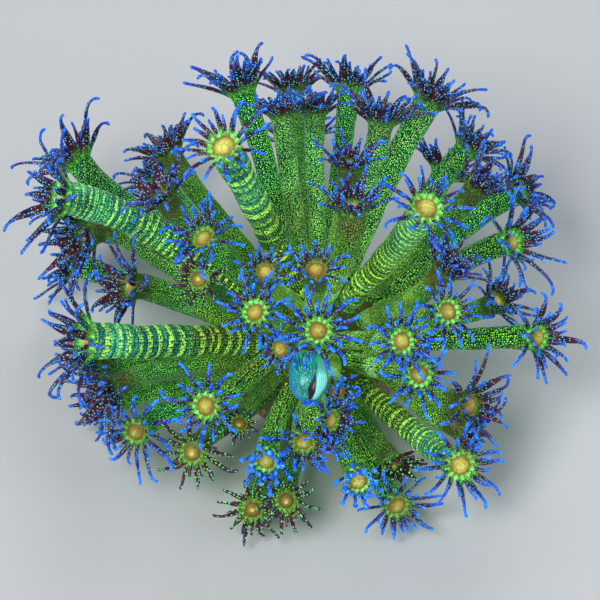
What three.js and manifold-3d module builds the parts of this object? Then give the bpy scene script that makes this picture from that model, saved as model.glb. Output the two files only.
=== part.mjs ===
// Flowerpot coral, a colony of long fleshy polyps on a small dome of skeleton, cut off flat
// where it grew. Millimetres, +Z up, origin at the middle of the flat cut, front along -Y.
//
// Every polyp is one closed mesh: a column that leaves the dome at right angles, bends
// towards the light, and ends in an oral disc with twelve tentacles round it.
import * as THREE from 'three';
import { mergeVertices } from 'three/addons/utils/BufferGeometryUtils.js';
import Module from 'manifold-3d';

// Driving dimensions of the skeleton
const HEART_HEIGHT = 9; // centre of the dome above the flat cut
const DOME_RADIUS = 17;
const WAIST_HEIGHT = 4.5; // lowest point of the round dome, above its foot
const FOOT_RADIUS = 18.5; // the flat cut
const DOME_SIDES = 24;
const DOME_STEPS = 8;
const SEAT_GAP = 0.4; // between the dome and the root of a polyp

// Driving dimensions of the polyps
const COLUMN_SIDES = 6;
const TENTACLES = 12;
const MOUTH_HEIGHT = 3.2; // from the top of the column to the mouth
const RIM_HEIGHT = 1.5;
const DISC_HEIGHT = 2.1;
const ROOT_TAPER = 0.84; // a column is this much narrower at its root
const CROWN_FLARE = 1.12; // and this much wider under its crown
const RIM_MARGIN = 0.35; // rim beyond the flared column
const DISC_SHARE = 0.72; // radius of the disc inside the rim
const TENTACLE_ROOT = 0.9; // half the width of a tentacle at the rim
const WHORL_LIFT = 9; // every other tentacle opens this much more than the crown, or less
const FLOOR_CLEARANCE = 1.5; // tips stay this far above the cut
const DOME_CLEARANCE = 3; // and this far off the dome
const FLESH_GAP = 0.4; // between any two polyps

// Driving dimensions of the buds, short closed polyps that sit fast on the dome
const BUD_COUNT = 12;
const BUD_RADIUS = 1.5;
const BUD_HEIGHT = 2.6;
const BUD_SIDES = 6;
const BUD_TOP_SHARE = 0.62; // width of its top against its foot
const BUD_SUNK = 1.2; // depth of its foot in the dome
const BUD_ROOM = 0.7; // kept free between a bud and a root
const BUD_GAP = 1; // kept free between two buds, and over the cut
const BUD_TRIES = 260;
const HIGHEST_BUD = 0.98; // of the dome's radius over its centre
const BUD_SPAN = 1.2; // from the highest place tried to the lowest, in the same measure

// The heads are measured in a plane that leans back from upright, through the heart of the
// dome: across is +X, up is up the plane, toward is square out of it, to the front and above.
const PLANE_LEAN = THREE.MathUtils.degToRad(50);
const HEART = new THREE.Vector3(0, 0, HEART_HEIGHT);
const ACROSS = new THREE.Vector3(1, 0, 0);
const UP = new THREE.Vector3(0, Math.sin(PLANE_LEAN), Math.cos(PLANE_LEAN));
const TOWARD = new THREE.Vector3(0, -Math.cos(PLANE_LEAN), Math.sin(PLANE_LEAN));

// One row a polyp: where its mouth is (across, up, toward), where it looks (heading in the
// plane in degrees from +X, and facing, 1 straight out of the plane and 0 along it), the
// length of its tentacles, how far they open from its axis in degrees, and its girth, the
// radius of its column.
const POLYPS = [
  // left fan, from the top down
  { name: 'polyp_01', at: [-55, 43, -2], heading: 130, facing: -0.05, length: 11.5, open: 52, girth: 2.6 },
  { name: 'polyp_02', at: [-58, 33.5, 20], heading: 172, facing: 0.45, length: 11.5, open: 56, girth: 3.5 },
  { name: 'polyp_03', at: [-53, 24.5, 4], heading: 205, facing: 0.5, length: 12.5, open: 50, girth: 2.6 },
  { name: 'polyp_04', at: [-42.5, 13.5, 18], heading: 178, facing: 0.5, length: 10.5, open: 66, girth: 2.6 },
  { name: 'polyp_05', at: [-52, 1.5, 34], heading: 176, facing: 0.35, length: 13.5, open: 62, girth: 3.7 },
  { name: 'polyp_06', at: [-46, -10, 25], heading: 212, facing: 0.4, length: 12.5, open: 58, girth: 2.2 },
  { name: 'polyp_07', at: [-50.5, -5, 11], heading: 190, facing: 0.2, length: 7.5, open: 55, girth: 2.3 },
  { name: 'polyp_08', at: [-49, -14, 14], heading: 200, facing: 0.35, length: 7, open: 58, girth: 2.2 },
  { name: 'polyp_09', at: [-40.5, -19.5, 30], heading: 222, facing: 0.85, length: 9.5, open: 74, girth: 2.5 },
  // lower front
  { name: 'polyp_10', at: [-27.5, -24, 32], heading: 245, facing: 0.93, length: 8, open: 80, girth: 2.4 },
  { name: 'polyp_11', at: [-24.5, -13, 45], heading: 190, facing: 0.93, length: 8, open: 78, girth: 2.6 },
  { name: 'polyp_12', at: [-17, -17.5, 35], heading: 250, facing: 0.9, length: 3.2, open: 60, girth: 1.8 },
  { name: 'polyp_13', at: [-11, -25.5, 42], heading: 262, facing: 0.9, length: 6, open: 20, girth: 2.5 },
  { name: 'polyp_14', at: [-14, -36.5, 31], heading: 265, facing: 0.97, length: 6.3, open: 80, girth: 2.2 },
  { name: 'polyp_15', at: [-6.5, -34.5, 34], heading: 275, facing: 0.97, length: 5.8, open: 80, girth: 2.1 },
  { name: 'polyp_16', at: [-2.5, -21.5, 41], heading: 270, facing: 0.78, length: 8, open: 70, girth: 2.4 },
  { name: 'polyp_17', at: [4, -15.5, 47], heading: 350, facing: 0.62, length: 7, open: 66, girth: 2.4 },
  { name: 'polyp_18', at: [9.5, -30, 37], heading: 280, facing: 0.95, length: 5.5, open: 18, girth: 2.5 },
  { name: 'polyp_19', at: [18.5, -36, 31], heading: 300, facing: 0.82, length: 8, open: 74, girth: 2.5 },
  { name: 'polyp_20', at: [17.5, -28, 27], heading: 300, facing: 0.5, length: 6, open: 55, girth: 2.1 },
  { name: 'polyp_21', at: [32.5, -26.5, 36], heading: 330, facing: 0.92, length: 9, open: 76, girth: 2.9 },
  { name: 'polyp_22', at: [34, -19.5, 27], heading: 335, facing: 0.1, length: 9, open: 58, girth: 2.4 },
  { name: 'polyp_23', at: [35, -13, 35], heading: 355, facing: 0.68, length: 11, open: 62, girth: 2.5 },
  // middle, nearest the eye
  { name: 'polyp_24', at: [23, -6, 50], heading: 0, facing: 0.95, length: 7, open: 78, girth: 2.4 },
  { name: 'polyp_25', at: [19, 1.5, 55], heading: 20, facing: 0.97, length: 6.5, open: 78, girth: 2.3 },
  { name: 'polyp_26', at: [0.5, 4, 60], heading: 90, facing: 0.97, length: 8, open: 76, girth: 2.5 },
  { name: 'polyp_27', at: [-13.5, 8, 52], heading: 130, facing: 0.93, length: 7.2, open: 76, girth: 2.4 },
  { name: 'polyp_28', at: [-11, 17, 45], heading: 90, facing: 0.9, length: 5, open: 66, girth: 2 },
  { name: 'polyp_29', at: [-26, 15, 42], heading: 150, facing: 0.93, length: 4.5, open: 70, girth: 2.1 },
  { name: 'polyp_30', at: [-25, 24.5, 47], heading: 130, facing: 0.75, length: 8.5, open: 70, girth: 2.4 },
  { name: 'polyp_31', at: [0, 17.5, 56], heading: 95, facing: 0.85, length: 6, open: 66, girth: 2.2 },
  { name: 'polyp_32', at: [5, -10.5, 41], heading: 300, facing: 0.85, length: 4, open: 52, girth: 1.8 },
  { name: 'polyp_33', at: [29.5, 8, 48], heading: 20, facing: 0.9, length: 7, open: 74, girth: 2.4 },
  { name: 'polyp_34', at: [29.5, 18, 40], heading: 50, facing: 0.4, length: 7.5, open: 42, girth: 2.4 },
  { name: 'polyp_58', at: [-7.8, -1.1, 48], heading: 200, facing: 0.85, length: 4, open: 62, girth: 1.8 },
  // upper fan, from left to right
  { name: 'polyp_35', at: [-34.5, 34, 32], heading: 130, facing: 0.45, length: 9, open: 58, girth: 2.4 },
  { name: 'polyp_36', at: [-20.5, 44.5, 50], heading: 120, facing: 0.8, length: 9, open: 72, girth: 3.3 },
  { name: 'polyp_37', at: [-33.5, 44.5, 14], heading: 122, facing: 0.1, length: 8.5, open: 48, girth: 2.2 },
  { name: 'polyp_38', at: [-17, 59, 8], heading: 110, facing: 0.15, length: 9.5, open: 45, girth: 2.5 },
  { name: 'polyp_39', at: [-5.5, 60.5, -26], heading: 95, facing: -0.05, length: 7.5, open: 52, girth: 2.3 },
  { name: 'polyp_40', at: [-7.5, 53, 26], heading: 96, facing: 0.2, length: 7, open: 48, girth: 2.2 },
  { name: 'polyp_41', at: [0, 54, 17], heading: 88, facing: 0.2, length: 7.5, open: 48, girth: 2.1 },
  { name: 'polyp_42', at: [8, 60, -12], heading: 85, facing: -0.1, length: 9.8, open: 50, girth: 2.2 },
  { name: 'polyp_43', at: [15, 51.5, 22], heading: 80, facing: 0.2, length: 10, open: 52, girth: 2.4 },
  { name: 'polyp_44', at: [7.5, 41, 43], heading: 88, facing: 0.45, length: 7.5, open: 42, girth: 2.4 },
  { name: 'polyp_45', at: [8, 31.5, 53], heading: 88, facing: 0.5, length: 8, open: 44, girth: 2.8 },
  { name: 'polyp_46', at: [26.5, 56.5, 10], heading: 58, facing: 0.25, length: 10.5, open: 55, girth: 2.8 },
  { name: 'polyp_47', at: [35.5, 45.5, 4], heading: 45, facing: 0.2, length: 10, open: 54, girth: 2.3 },
  { name: 'polyp_48', at: [37, 36.5, 19], heading: 52, facing: 0.35, length: 8, open: 28, girth: 2.3 },
  { name: 'polyp_49', at: [47.5, 36, -6], heading: 28, facing: 0.4, length: 9.5, open: 60, girth: 2.8 },
  { name: 'polyp_50', at: [45, 23.5, 22], heading: 12, facing: 0.65, length: 12.5, open: 62, girth: 2.5 },
  { name: 'polyp_51', at: [24.5, 31, 52], heading: 62, facing: 0.85, length: 8.5, open: 74, girth: 3.1 },
  { name: 'polyp_52', at: [42, 10.5, 5], heading: 32, facing: 0.62, length: 8.5, open: 55, girth: 2.2 },
  { name: 'polyp_53', at: [50.5, 2, 26], heading: 0, facing: 0.7, length: 10.5, open: 60, girth: 2.5 },
  // back, low down behind the rest
  { name: 'polyp_54', at: [-56, 19, -10], heading: 160, facing: 0, length: 9.5, open: 60, girth: 2.4 },
  { name: 'polyp_55', at: [-37, 40, -27], heading: 124, facing: -0.1, length: 9.5, open: 60, girth: 2.4 },
  { name: 'polyp_56', at: [-4, 48.5, -35], heading: 95, facing: -0.1, length: 9.5, open: 60, girth: 2.4 },
  { name: 'polyp_57', at: [31, 41, -30], heading: 60, facing: -0.1, length: 9.5, open: 60, girth: 2.4 },
  // drawn in, with its tentacles folded over its mouth
  { name: 'closed_polyp', at: [-1.5, -10, 47], heading: 272, facing: 0.35, length: 3.2, open: 12, girth: 3.5 },
];

// Settling of the roots on the dome and of the columns between each other
const COLUMN_STEPS = 20;
const ROOT_ROUNDS = 400;
const ROOT_GAP = 0.9;
const LOWEST_ROOT = 5.4; // edge of the lowest root above the cut
const COLUMN_ROUNDS = 260;
const COLUMN_GAP = 1.1;
const CROWN_ROOM = 1.0; // kept free round a crown, beyond its rim
const SMOOTHING = 0.3;
const PUSH_SHARE = 0.6; // of the pushes on a ball that its step of the column follows
const RETURN_SHARE = 0.03; // pull of a column to its first bend
const HEAD_RETURN_SHARE = 0.08; // pull of a head to its measured place
const HANDLE_SHARE = 0.36; // length of the bend's handles against the span

// Settings that a tentacle tries in turn until it is clear of the other polyps
const LIFT_STEPS = [0, -9, 9, -18, 18, -28, 27, -38, 36, -48];
const LENGTH_STEPS = [1, 0.86, 0.72, 0.58, 0.45, 0.34];
const LEAST_OPEN = 6;
const LAST_SETTING = { scale: 0.2, lift: 0 }; // where none of them is clear
const LIFT_COST = 0.025; // a degree
const LENGTH_COST = 1.4; // the whole length
const SEARCH_RANGE = 34; // crowns further apart than this can't touch
const COLUMN_REACH = 8; // longest step of a column with its girth

const FLESH_COLOUR = 0x2f8f5a;
const CLOSED_COLOUR = 0x3fb8b0;
const SKELETON_COLOUR = 0x7d6a3c;

function planeVector(across, up, toward) {
  return new THREE.Vector3()
    .addScaledVector(ACROSS, across)
    .addScaledVector(UP, up)
    .addScaledVector(TOWARD, toward);
}

// Radius of a column at a share of its length, from the root up to the crown.
function columnRadius(polyp, share) {
  const flare = THREE.MathUtils.smoothstep(share, 0.75, 1) * (CROWN_FLARE - 1);
  return polyp.girth * (ROOT_TAPER + (1 - ROOT_TAPER) * Math.min(1, 1.6 * share) + flare);
}

function rimRadius(polyp) {
  return polyp.girth * CROWN_FLARE + RIM_MARGIN;
}

// A polyp's measured mouth, the axis of its crown and the first guess of its root.
function placeHead(row) {
  const level = THREE.MathUtils.degToRad(row.heading);
  const along = Math.sqrt(1 - row.facing ** 2);
  const axis = planeVector(Math.cos(level) * along, Math.sin(level) * along, row.facing);
  const mouth = planeVector(...row.at).add(HEART);
  const neck = mouth.clone().addScaledVector(axis, -MOUTH_HEIGHT);
  const root = neck.clone().sub(HEART).setLength(DOME_RADIUS + SEAT_GAP).add(HEART);
  return { ...row, axis, neck, root };
}

// Roots that stand too close are pushed apart along the dome, round after round.
function settleRoots(polyps) {
  for (let round = 0; round < ROOT_ROUNDS; round += 1) {
    const shifts = polyps.map(() => new THREE.Vector3());
    for (let i = 0; i < polyps.length; i += 1) {
      for (let j = i + 1; j < polyps.length; j += 1) {
        const between = polyps[i].root.clone().sub(polyps[j].root);
        const need = columnRadius(polyps[i], 0) + columnRadius(polyps[j], 0) + ROOT_GAP;
        const lack = need - between.length();
        if (lack > 0) {
          between.setLength(lack / 2);
          shifts[i].add(between);
          shifts[j].sub(between);
        }
      }
    }
    polyps.forEach((polyp, i) => {
      polyp.root.add(shifts[i]);
      polyp.root.z = Math.max(polyp.root.z, columnRadius(polyp, 0) + LOWEST_ROOT);
      polyp.root.sub(HEART).setLength(DOME_RADIUS + SEAT_GAP).add(HEART);
    });
  }
}

// The first bend of a column, a cubic curve square to the dome and in line with the crown.
function bendColumn(polyp) {
  const outward = polyp.root.clone().sub(HEART).normalize();
  const handle = HANDLE_SHARE * polyp.neck.distanceTo(polyp.root);
  const curve = new THREE.CubicBezierCurve3(
    polyp.root,
    polyp.root.clone().addScaledVector(outward, handle),
    polyp.neck.clone().addScaledVector(polyp.axis, -handle),
    polyp.neck,
  );
  return curve.getPoints(COLUMN_STEPS);
}

// Balls along each column and one round each crown push each other apart. The root and
// the step above it stay, the head moves as one, and the rest is smoothed in between.
function settleColumns(polyps) {
  const paths = polyps.map(bendColumn);
  const first = paths.map((path) => path.map((point) => point.clone()));
  const balls = polyps.map((polyp) => {
    const radii = [];
    for (let k = 0; k <= COLUMN_STEPS; k += 1) {
      radii.push(columnRadius(polyp, k / COLUMN_STEPS) + COLUMN_GAP / 2);
    }
    radii.push(rimRadius(polyp) + CROWN_ROOM);
    return radii;
  });
  const centre = (i, k) => (k <= COLUMN_STEPS
    ? paths[i][k]
    : paths[i][COLUMN_STEPS].clone().addScaledVector(polyps[i].axis, RIM_HEIGHT));
  for (let round = 0; round < COLUMN_ROUNDS; round += 1) {
    const shifts = balls.map((radii) => radii.map(() => new THREE.Vector3()));
    for (let i = 0; i < polyps.length; i += 1) {
      for (let j = i + 1; j < polyps.length; j += 1) {
        for (let k = 0; k < balls[i].length; k += 1) {
          const here = centre(i, k);
          for (let l = 0; l < balls[j].length; l += 1) {
            const there = centre(j, l);
            const need = balls[i][k] + balls[j][l];
            const apart = here.distanceTo(there);
            if (apart < need) {
              const push = (need - apart) / 2 / Math.max(apart, 0.01);
              shifts[i][k].addScaledVector(here, push).addScaledVector(there, -push);
              shifts[j][l].addScaledVector(there, push).addScaledVector(here, -push);
            }
          }
        }
      }
    }
    polyps.forEach((polyp, i) => moveColumn(paths[i], first[i], shifts[i]));
  }
  return paths;
}

// One round's move of one column, from the pushes on its balls.
function moveColumn(path, first, shifts) {
  const top = COLUMN_STEPS;
  const head = shifts[top + 1].clone().add(shifts[top]).add(shifts[top - 1]).multiplyScalar(0.5);
  head.addScaledVector(first[top].clone().sub(path[top]), HEAD_RETURN_SHARE);
  const old = path.map((point) => point.clone());
  for (let k = 2; k < top - 1; k += 1) {
    const middle = old[k - 1].clone().add(old[k + 1]).multiplyScalar(0.5);
    path[k].addScaledVector(middle.sub(old[k]), SMOOTHING);
    path[k].addScaledVector(shifts[k], PUSH_SHARE);
    path[k].addScaledVector(first[k].clone().sub(old[k]), RETURN_SHARE);
  }
  path[top].add(head);
  path[top - 1].add(head);
}

// Two directions square to the axis, the first one level.
function crossAxes(axis) {
  const side = new THREE.Vector3(-axis.y, axis.x, 0);
  if (side.length() < 0.05) {
    side.set(1, 0, 0);
  }
  side.addScaledVector(axis, -side.dot(axis)).normalize();
  return [side, axis.clone().cross(side)];
}

function ringPoints(centre, side, rise, radius, count, turn = 0) {
  const points = [];
  for (let i = 0; i < count; i += 1) {
    const angle = (2 * Math.PI * (i + turn)) / count;
    points.push(centre.clone()
      .addScaledVector(side, radius * Math.cos(angle))
      .addScaledVector(rise, radius * Math.sin(angle)));
  }
  return points;
}

// Rim, disc and mouth of a crown, and the start and outward direction of its tentacles.
function crownFrame(polyp, path) {
  const { axis } = polyp;
  const neck = path[COLUMN_STEPS];
  const [side, rise] = crossAxes(axis);
  const rimCentre = neck.clone().addScaledVector(axis, RIM_HEIGHT);
  const discCentre = neck.clone().addScaledVector(axis, DISC_HEIGHT);
  const rim = ringPoints(rimCentre, side, rise, rimRadius(polyp), TENTACLES);
  const disc = ringPoints(discCentre, side, rise, rimRadius(polyp) * DISC_SHARE, TENTACLES);
  const mouth = neck.clone().addScaledVector(axis, MOUTH_HEIGHT);
  const middle = (1 + DISC_SHARE) / 2;
  const startCentre = rimCentre.clone().lerp(discCentre, 0.5);
  const starts = ringPoints(startCentre, side, rise, rimRadius(polyp) * middle, TENTACLES, 0.5);
  const outward = starts.map((start) => start.clone().sub(startCentre).normalize());
  return { side, rise, rim, disc, mouth, starts, outward };
}

// Nearest distance between two segments, and how far along each it lies.
function segmentDistance(a, b, c, d) {
  const u = b.clone().sub(a);
  const v = d.clone().sub(c);
  const w = a.clone().sub(c);
  const uu = u.dot(u);
  const vv = v.dot(v);
  const uv = u.dot(v);
  const uw = u.dot(w);
  const vw = v.dot(w);
  const spread = uu * vv - uv * uv;
  let s = spread > 1e-9 ? THREE.MathUtils.clamp((uv * vw - uw * vv) / spread, 0, 1) : 0;
  let t = (uv * s + vw) / vv;
  if (t < 0 || t > 1) {
    t = THREE.MathUtils.clamp(t, 0, 1);
    s = THREE.MathUtils.clamp((t * uv - uw) / uu, 0, 1);
  }
  const distance = a.clone().addScaledVector(u, s).distanceTo(c.clone().addScaledVector(v, t));
  return { distance, s, t };
}

function tentacleRadius(share) {
  return TENTACLE_ROOT * (1 - share);
}

// True where a tentacle keeps clear of the floor, the dome and everything in its way.
function isClear(start, tip, obstacles) {
  if (tip.z < FLOOR_CLEARANCE || tip.distanceTo(HEART) < DOME_RADIUS + DOME_CLEARANCE) {
    return false;
  }
  return obstacles.every((other) => {
    const near = segmentDistance(start, tip, other.from, other.to);
    return near.distance > tentacleRadius(near.s) + other.radius(near.t) + FLESH_GAP;
  });
}

// Each tentacle takes the first setting, from the mildest change up, that is clear.
function spreadTentacles(polyps, paths, crowns) {
  const settings = LENGTH_STEPS.flatMap((scale) => LIFT_STEPS.map((lift) => ({ scale, lift })));
  settings.sort((one, other) => settingCost(one) - settingCost(other));
  const columns = polyps.map((polyp, i) => columnObstacles(polyp, paths[i], crowns[i]));
  const placed = polyps.map(() => []);
  polyps.forEach((polyp, i) => {
    const obstacles = polyps.flatMap((other, j) => {
      const far = crowns[i].mouth.distanceTo(crowns[j].mouth) > SEARCH_RANGE;
      return j === i ? [] : [...columns[j], ...(far ? [] : placed[j])];
    });
    crowns[i].tips = crowns[i].starts.map((start, n) => {
      const tipAt = ({ scale, lift }) => {
        const whorl = n % 2 === 0 ? -WHORL_LIFT : WHORL_LIFT;
        const angle = THREE.MathUtils.degToRad(Math.max(polyp.open + whorl + lift, LEAST_OPEN));
        return start.clone()
          .addScaledVector(polyp.axis, Math.cos(angle) * polyp.length * scale)
          .addScaledVector(crowns[i].outward[n], Math.sin(angle) * polyp.length * scale);
      };
      const reach = obstacles.filter((other) => (
        other.from.distanceTo(start) < polyp.length + other.room));
      const chosen = settings.find((setting) => isClear(start, tipAt(setting), reach));
      const tip = tipAt(chosen ?? LAST_SETTING);
      placed[i].push({ from: start, to: tip, radius: tentacleRadius, room: polyp.length });
      return tip;
    });
  });
}

function settingCost({ scale, lift }) {
  return Math.abs(lift) * LIFT_COST + (1 - scale) * LENGTH_COST;
}

// A column and its crown as thick segments for the tentacles of other polyps to miss.
function columnObstacles(polyp, path, crown) {
  const pieces = [];
  for (let k = 0; k < COLUMN_STEPS; k += 2) {
    const radius = columnRadius(polyp, (k + 1) / COLUMN_STEPS);
    pieces.push({ from: path[k], to: path[k + 2], radius: () => radius, room: COLUMN_REACH });
  }
  const rim = rimRadius(polyp) + TENTACLE_ROOT;
  pieces.push({ from: path[COLUMN_STEPS], to: crown.mouth, radius: () => rim, room: COLUMN_REACH });
  return pieces;
}

// Collects corners and faces of one closed mesh.
class Shell {
  constructor() {
    this.corners = [];
    this.faces = [];
  }

  addRing(points) {
    const start = this.corners.length;
    this.corners.push(...points);
    return points.map((point, i) => start + i);
  }

  // Band between two rings of the same count, the second one above the first.
  addBand(low, high) {
    low.forEach((corner, i) => {
      const next = (i + 1) % low.length;
      this.faces.push([corner, low[next], high[next]], [corner, high[next], high[i]]);
    });
  }

  // Band from a ring to one with twice the corners.
  addDoublingBand(low, high) {
    low.forEach((corner, i) => {
      const next = low[(i + 1) % low.length];
      const [left, middle] = [high[2 * i], high[2 * i + 1]];
      const right = high[(2 * i + 2) % high.length];
      this.faces.push([corner, next, middle], [corner, middle, left], [next, right, middle]);
    });
  }

  addFloor(ring) {
    for (let i = 1; i < ring.length - 1; i += 1) {
      this.faces.push([ring[0], ring[i + 1], ring[i]]);
    }
  }

  // Four-sided spike on the patch between two rings.
  addSpike(low, high, i, tip) {
    const next = (i + 1) % low.length;
    const [peak] = this.addRing([tip]);
    this.faces.push([low[i], low[next], peak], [low[next], high[next], peak]);
    this.faces.push([high[next], high[i], peak], [high[i], low[i], peak]);
  }

  addCone(ring, tip) {
    const [peak] = this.addRing([tip]);
    ring.forEach((corner, i) => {
      this.faces.push([corner, ring[(i + 1) % ring.length], peak]);
    });
  }

  geometry() {
    const geometry = new THREE.BufferGeometry();
    const positions = this.corners.flatMap((corner) => corner.toArray());
    geometry.setAttribute('position', new THREE.Float32BufferAttribute(positions, 3));
    geometry.setIndex(this.faces.flat());
    geometry.computeVertexNormals();
    return geometry;
  }
}

// Rings of a column from the root to the neck, turned as little as the bend allows.
function columnRings(polyp, path, crown) {
  const rings = [];
  let { side } = crown;
  for (let k = COLUMN_STEPS; k >= 0; k -= 4) {
    const before = path[Math.max(k - 1, 0)];
    const after = path[Math.min(k + 1, COLUMN_STEPS)];
    const along = k === COLUMN_STEPS ? polyp.axis : after.clone().sub(before).normalize();
    side = side.clone().addScaledVector(along, -side.dot(along)).normalize();
    const rise = along.clone().cross(side);
    const radius = columnRadius(polyp, k / COLUMN_STEPS);
    rings.unshift(ringPoints(path[k], side, rise, radius, COLUMN_SIDES));
  }
  return rings;
}

function polypGeometry(polyp, path, crown) {
  const shell = new Shell();
  const rings = columnRings(polyp, path, crown).map((points) => shell.addRing(points));
  shell.addFloor(rings[0]);
  for (let k = 1; k < rings.length; k += 1) {
    shell.addBand(rings[k - 1], rings[k]);
  }
  const rim = shell.addRing(crown.rim);
  shell.addDoublingBand(rings[rings.length - 1], rim);
  const disc = shell.addRing(crown.disc);
  crown.tips.forEach((tip, i) => shell.addSpike(rim, disc, i, tip));
  shell.addCone(disc, crown.mouth);
  return shell.geometry();
}

// The dome, a turned profile that stands on a wider foot with the flat cut.
function domeGeometry() {
  const lowest = -Math.asin((HEART_HEIGHT - WAIST_HEIGHT) / DOME_RADIUS);
  const profile = [new THREE.Vector2(0, 0), new THREE.Vector2(FOOT_RADIUS, 0)];
  for (let step = 0; step <= DOME_STEPS; step += 1) {
    const angle = lowest + ((Math.PI / 2 - lowest) * step) / DOME_STEPS;
    const radius = step === DOME_STEPS ? 0 : DOME_RADIUS * Math.cos(angle);
    profile.push(new THREE.Vector2(radius, HEART_HEIGHT + DOME_RADIUS * Math.sin(angle)));
  }
  return new THREE.LatheGeometry(profile, DOME_SIDES).rotateX(Math.PI / 2);
}

// Places for buds, spread evenly over the dome and kept where no root is in the way.
function budPlaces(polyps) {
  const goldenTurn = Math.PI * (3 - Math.sqrt(5));
  const places = [];
  for (let n = 0; n < BUD_TRIES && places.length < BUD_COUNT; n += 1) {
    const height = HIGHEST_BUD - (BUD_SPAN * n) / BUD_TRIES;
    const level = Math.sqrt(1 - height * height);
    const outward = new THREE.Vector3(
      level * Math.cos(goldenTurn * n), level * Math.sin(goldenTurn * n), height);
    const place = HEART.clone().addScaledVector(outward, DOME_RADIUS);
    const room = Math.min(
      ...polyps.map((polyp) => place.distanceTo(polyp.root) - columnRadius(polyp, 0)),
      ...places.map((other) => place.distanceTo(other.place) - BUD_RADIUS - BUD_GAP));
    if (room > BUD_RADIUS + BUD_ROOM && place.z > BUD_RADIUS + BUD_GAP) {
      places.push({ place, outward });
    }
  }
  return places;
}

function budGeometry({ place, outward }) {
  const height = BUD_HEIGHT + BUD_SUNK;
  const bud = new THREE.CylinderGeometry(BUD_RADIUS * BUD_TOP_SHARE, BUD_RADIUS, height, BUD_SIDES);
  bud.translate(0, height / 2 - BUD_SUNK, 0);
  const turn = new THREE.Quaternion().setFromUnitVectors(new THREE.Vector3(0, 1, 0), outward);
  return bud.applyQuaternion(turn).translate(place.x, place.y, place.z);
}

const wasm = await Module();
wasm.setup();

function toSolid(geometry) {
  geometry.deleteAttribute('normal');
  geometry.deleteAttribute('uv');
  const merged = mergeVertices(geometry, 1e-4);
  const triVerts = new Uint32Array(merged.index.array);
  const vertProperties = new Float32Array(merged.attributes.position.array);
  return new wasm.Manifold(new wasm.Mesh({ numProp: 3, vertProperties, triVerts }));
}

function toGeometry(solid) {
  const mesh = solid.getMesh();
  const geometry = new THREE.BufferGeometry();
  geometry.setAttribute('position', new THREE.BufferAttribute(mesh.vertProperties, 3));
  geometry.setIndex(new THREE.BufferAttribute(mesh.triVerts, 1));
  geometry.computeVertexNormals();
  return geometry;
}

function skeletonGeometry(polyps) {
  const dome = toSolid(domeGeometry());
  const buds = budPlaces(polyps).map((bud) => toSolid(budGeometry(bud)));
  return toGeometry(buds.reduce((solid, bud) => solid.add(bud), dome));
}

function addMesh(group, name, geometry, color, roughness) {
  const material = new THREE.MeshStandardMaterial({ color, roughness, metalness: 0 });
  const mesh = new THREE.Mesh(geometry, material);
  mesh.name = name;
  group.add(mesh);
}

const polyps = POLYPS.map(placeHead);
settleRoots(polyps);
const paths = settleColumns(polyps);
const crowns = polyps.map((polyp, i) => crownFrame(polyp, paths[i]));
spreadTentacles(polyps, paths, crowns);

const colony = new THREE.Group();
addMesh(colony, 'skeleton', skeletonGeometry(polyps), SKELETON_COLOUR, 0.8);
polyps.forEach((polyp, i) => {
  const colour = polyp.name === 'closed_polyp' ? CLOSED_COLOUR : FLESH_COLOUR;
  addMesh(colony, polyp.name, polypGeometry(polyp, paths[i], crowns[i]), colour, 0.5);
});

export default colony;
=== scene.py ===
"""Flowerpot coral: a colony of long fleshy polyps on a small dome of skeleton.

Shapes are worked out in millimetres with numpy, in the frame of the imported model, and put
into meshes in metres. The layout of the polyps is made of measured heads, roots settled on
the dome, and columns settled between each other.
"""

import logging
import math
from dataclasses import dataclass, field
from enum import Enum

import bpy
import numpy as np
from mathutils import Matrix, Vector


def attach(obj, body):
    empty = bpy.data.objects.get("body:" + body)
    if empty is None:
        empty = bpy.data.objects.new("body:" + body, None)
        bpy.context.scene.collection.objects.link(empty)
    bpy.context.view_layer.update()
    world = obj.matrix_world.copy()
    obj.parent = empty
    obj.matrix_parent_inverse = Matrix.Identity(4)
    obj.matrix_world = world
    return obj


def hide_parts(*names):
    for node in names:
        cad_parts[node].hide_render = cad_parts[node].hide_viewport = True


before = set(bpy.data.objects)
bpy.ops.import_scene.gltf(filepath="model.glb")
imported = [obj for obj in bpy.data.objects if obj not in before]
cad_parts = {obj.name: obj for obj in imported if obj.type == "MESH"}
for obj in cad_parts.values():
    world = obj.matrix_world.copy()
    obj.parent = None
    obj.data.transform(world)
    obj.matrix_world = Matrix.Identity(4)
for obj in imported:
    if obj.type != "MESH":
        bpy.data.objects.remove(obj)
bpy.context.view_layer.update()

LOG = logging.getLogger("flowerpot_coral")
METRES = 0.001  # metres in a millimetre
TURN = 2.0 * math.pi
GOLDEN_TURN = math.pi * (3.0 - math.sqrt(5.0))
LEAST_LENGTH = 1e-9  # keeps a division by a length from failing


@dataclass(frozen=True)
class Tone:
    """How a coat differs from the plain speckled one, each a share unless stated."""

    band: float = 0.0  # millimetres between rings, 0 for none
    olive: float = 0.0  # of the column's ground
    maroon: float = 0.0  # of the column's cup and the tentacles' faces
    shade: float = 0.0  # dark tentacles with green dashes
    glow: float = 0.6  # of the green lobes, and size of the speckles
    cream: float = 0.0  # of the disc
    frost: float = 0.0  # pale speckles, set close


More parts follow.
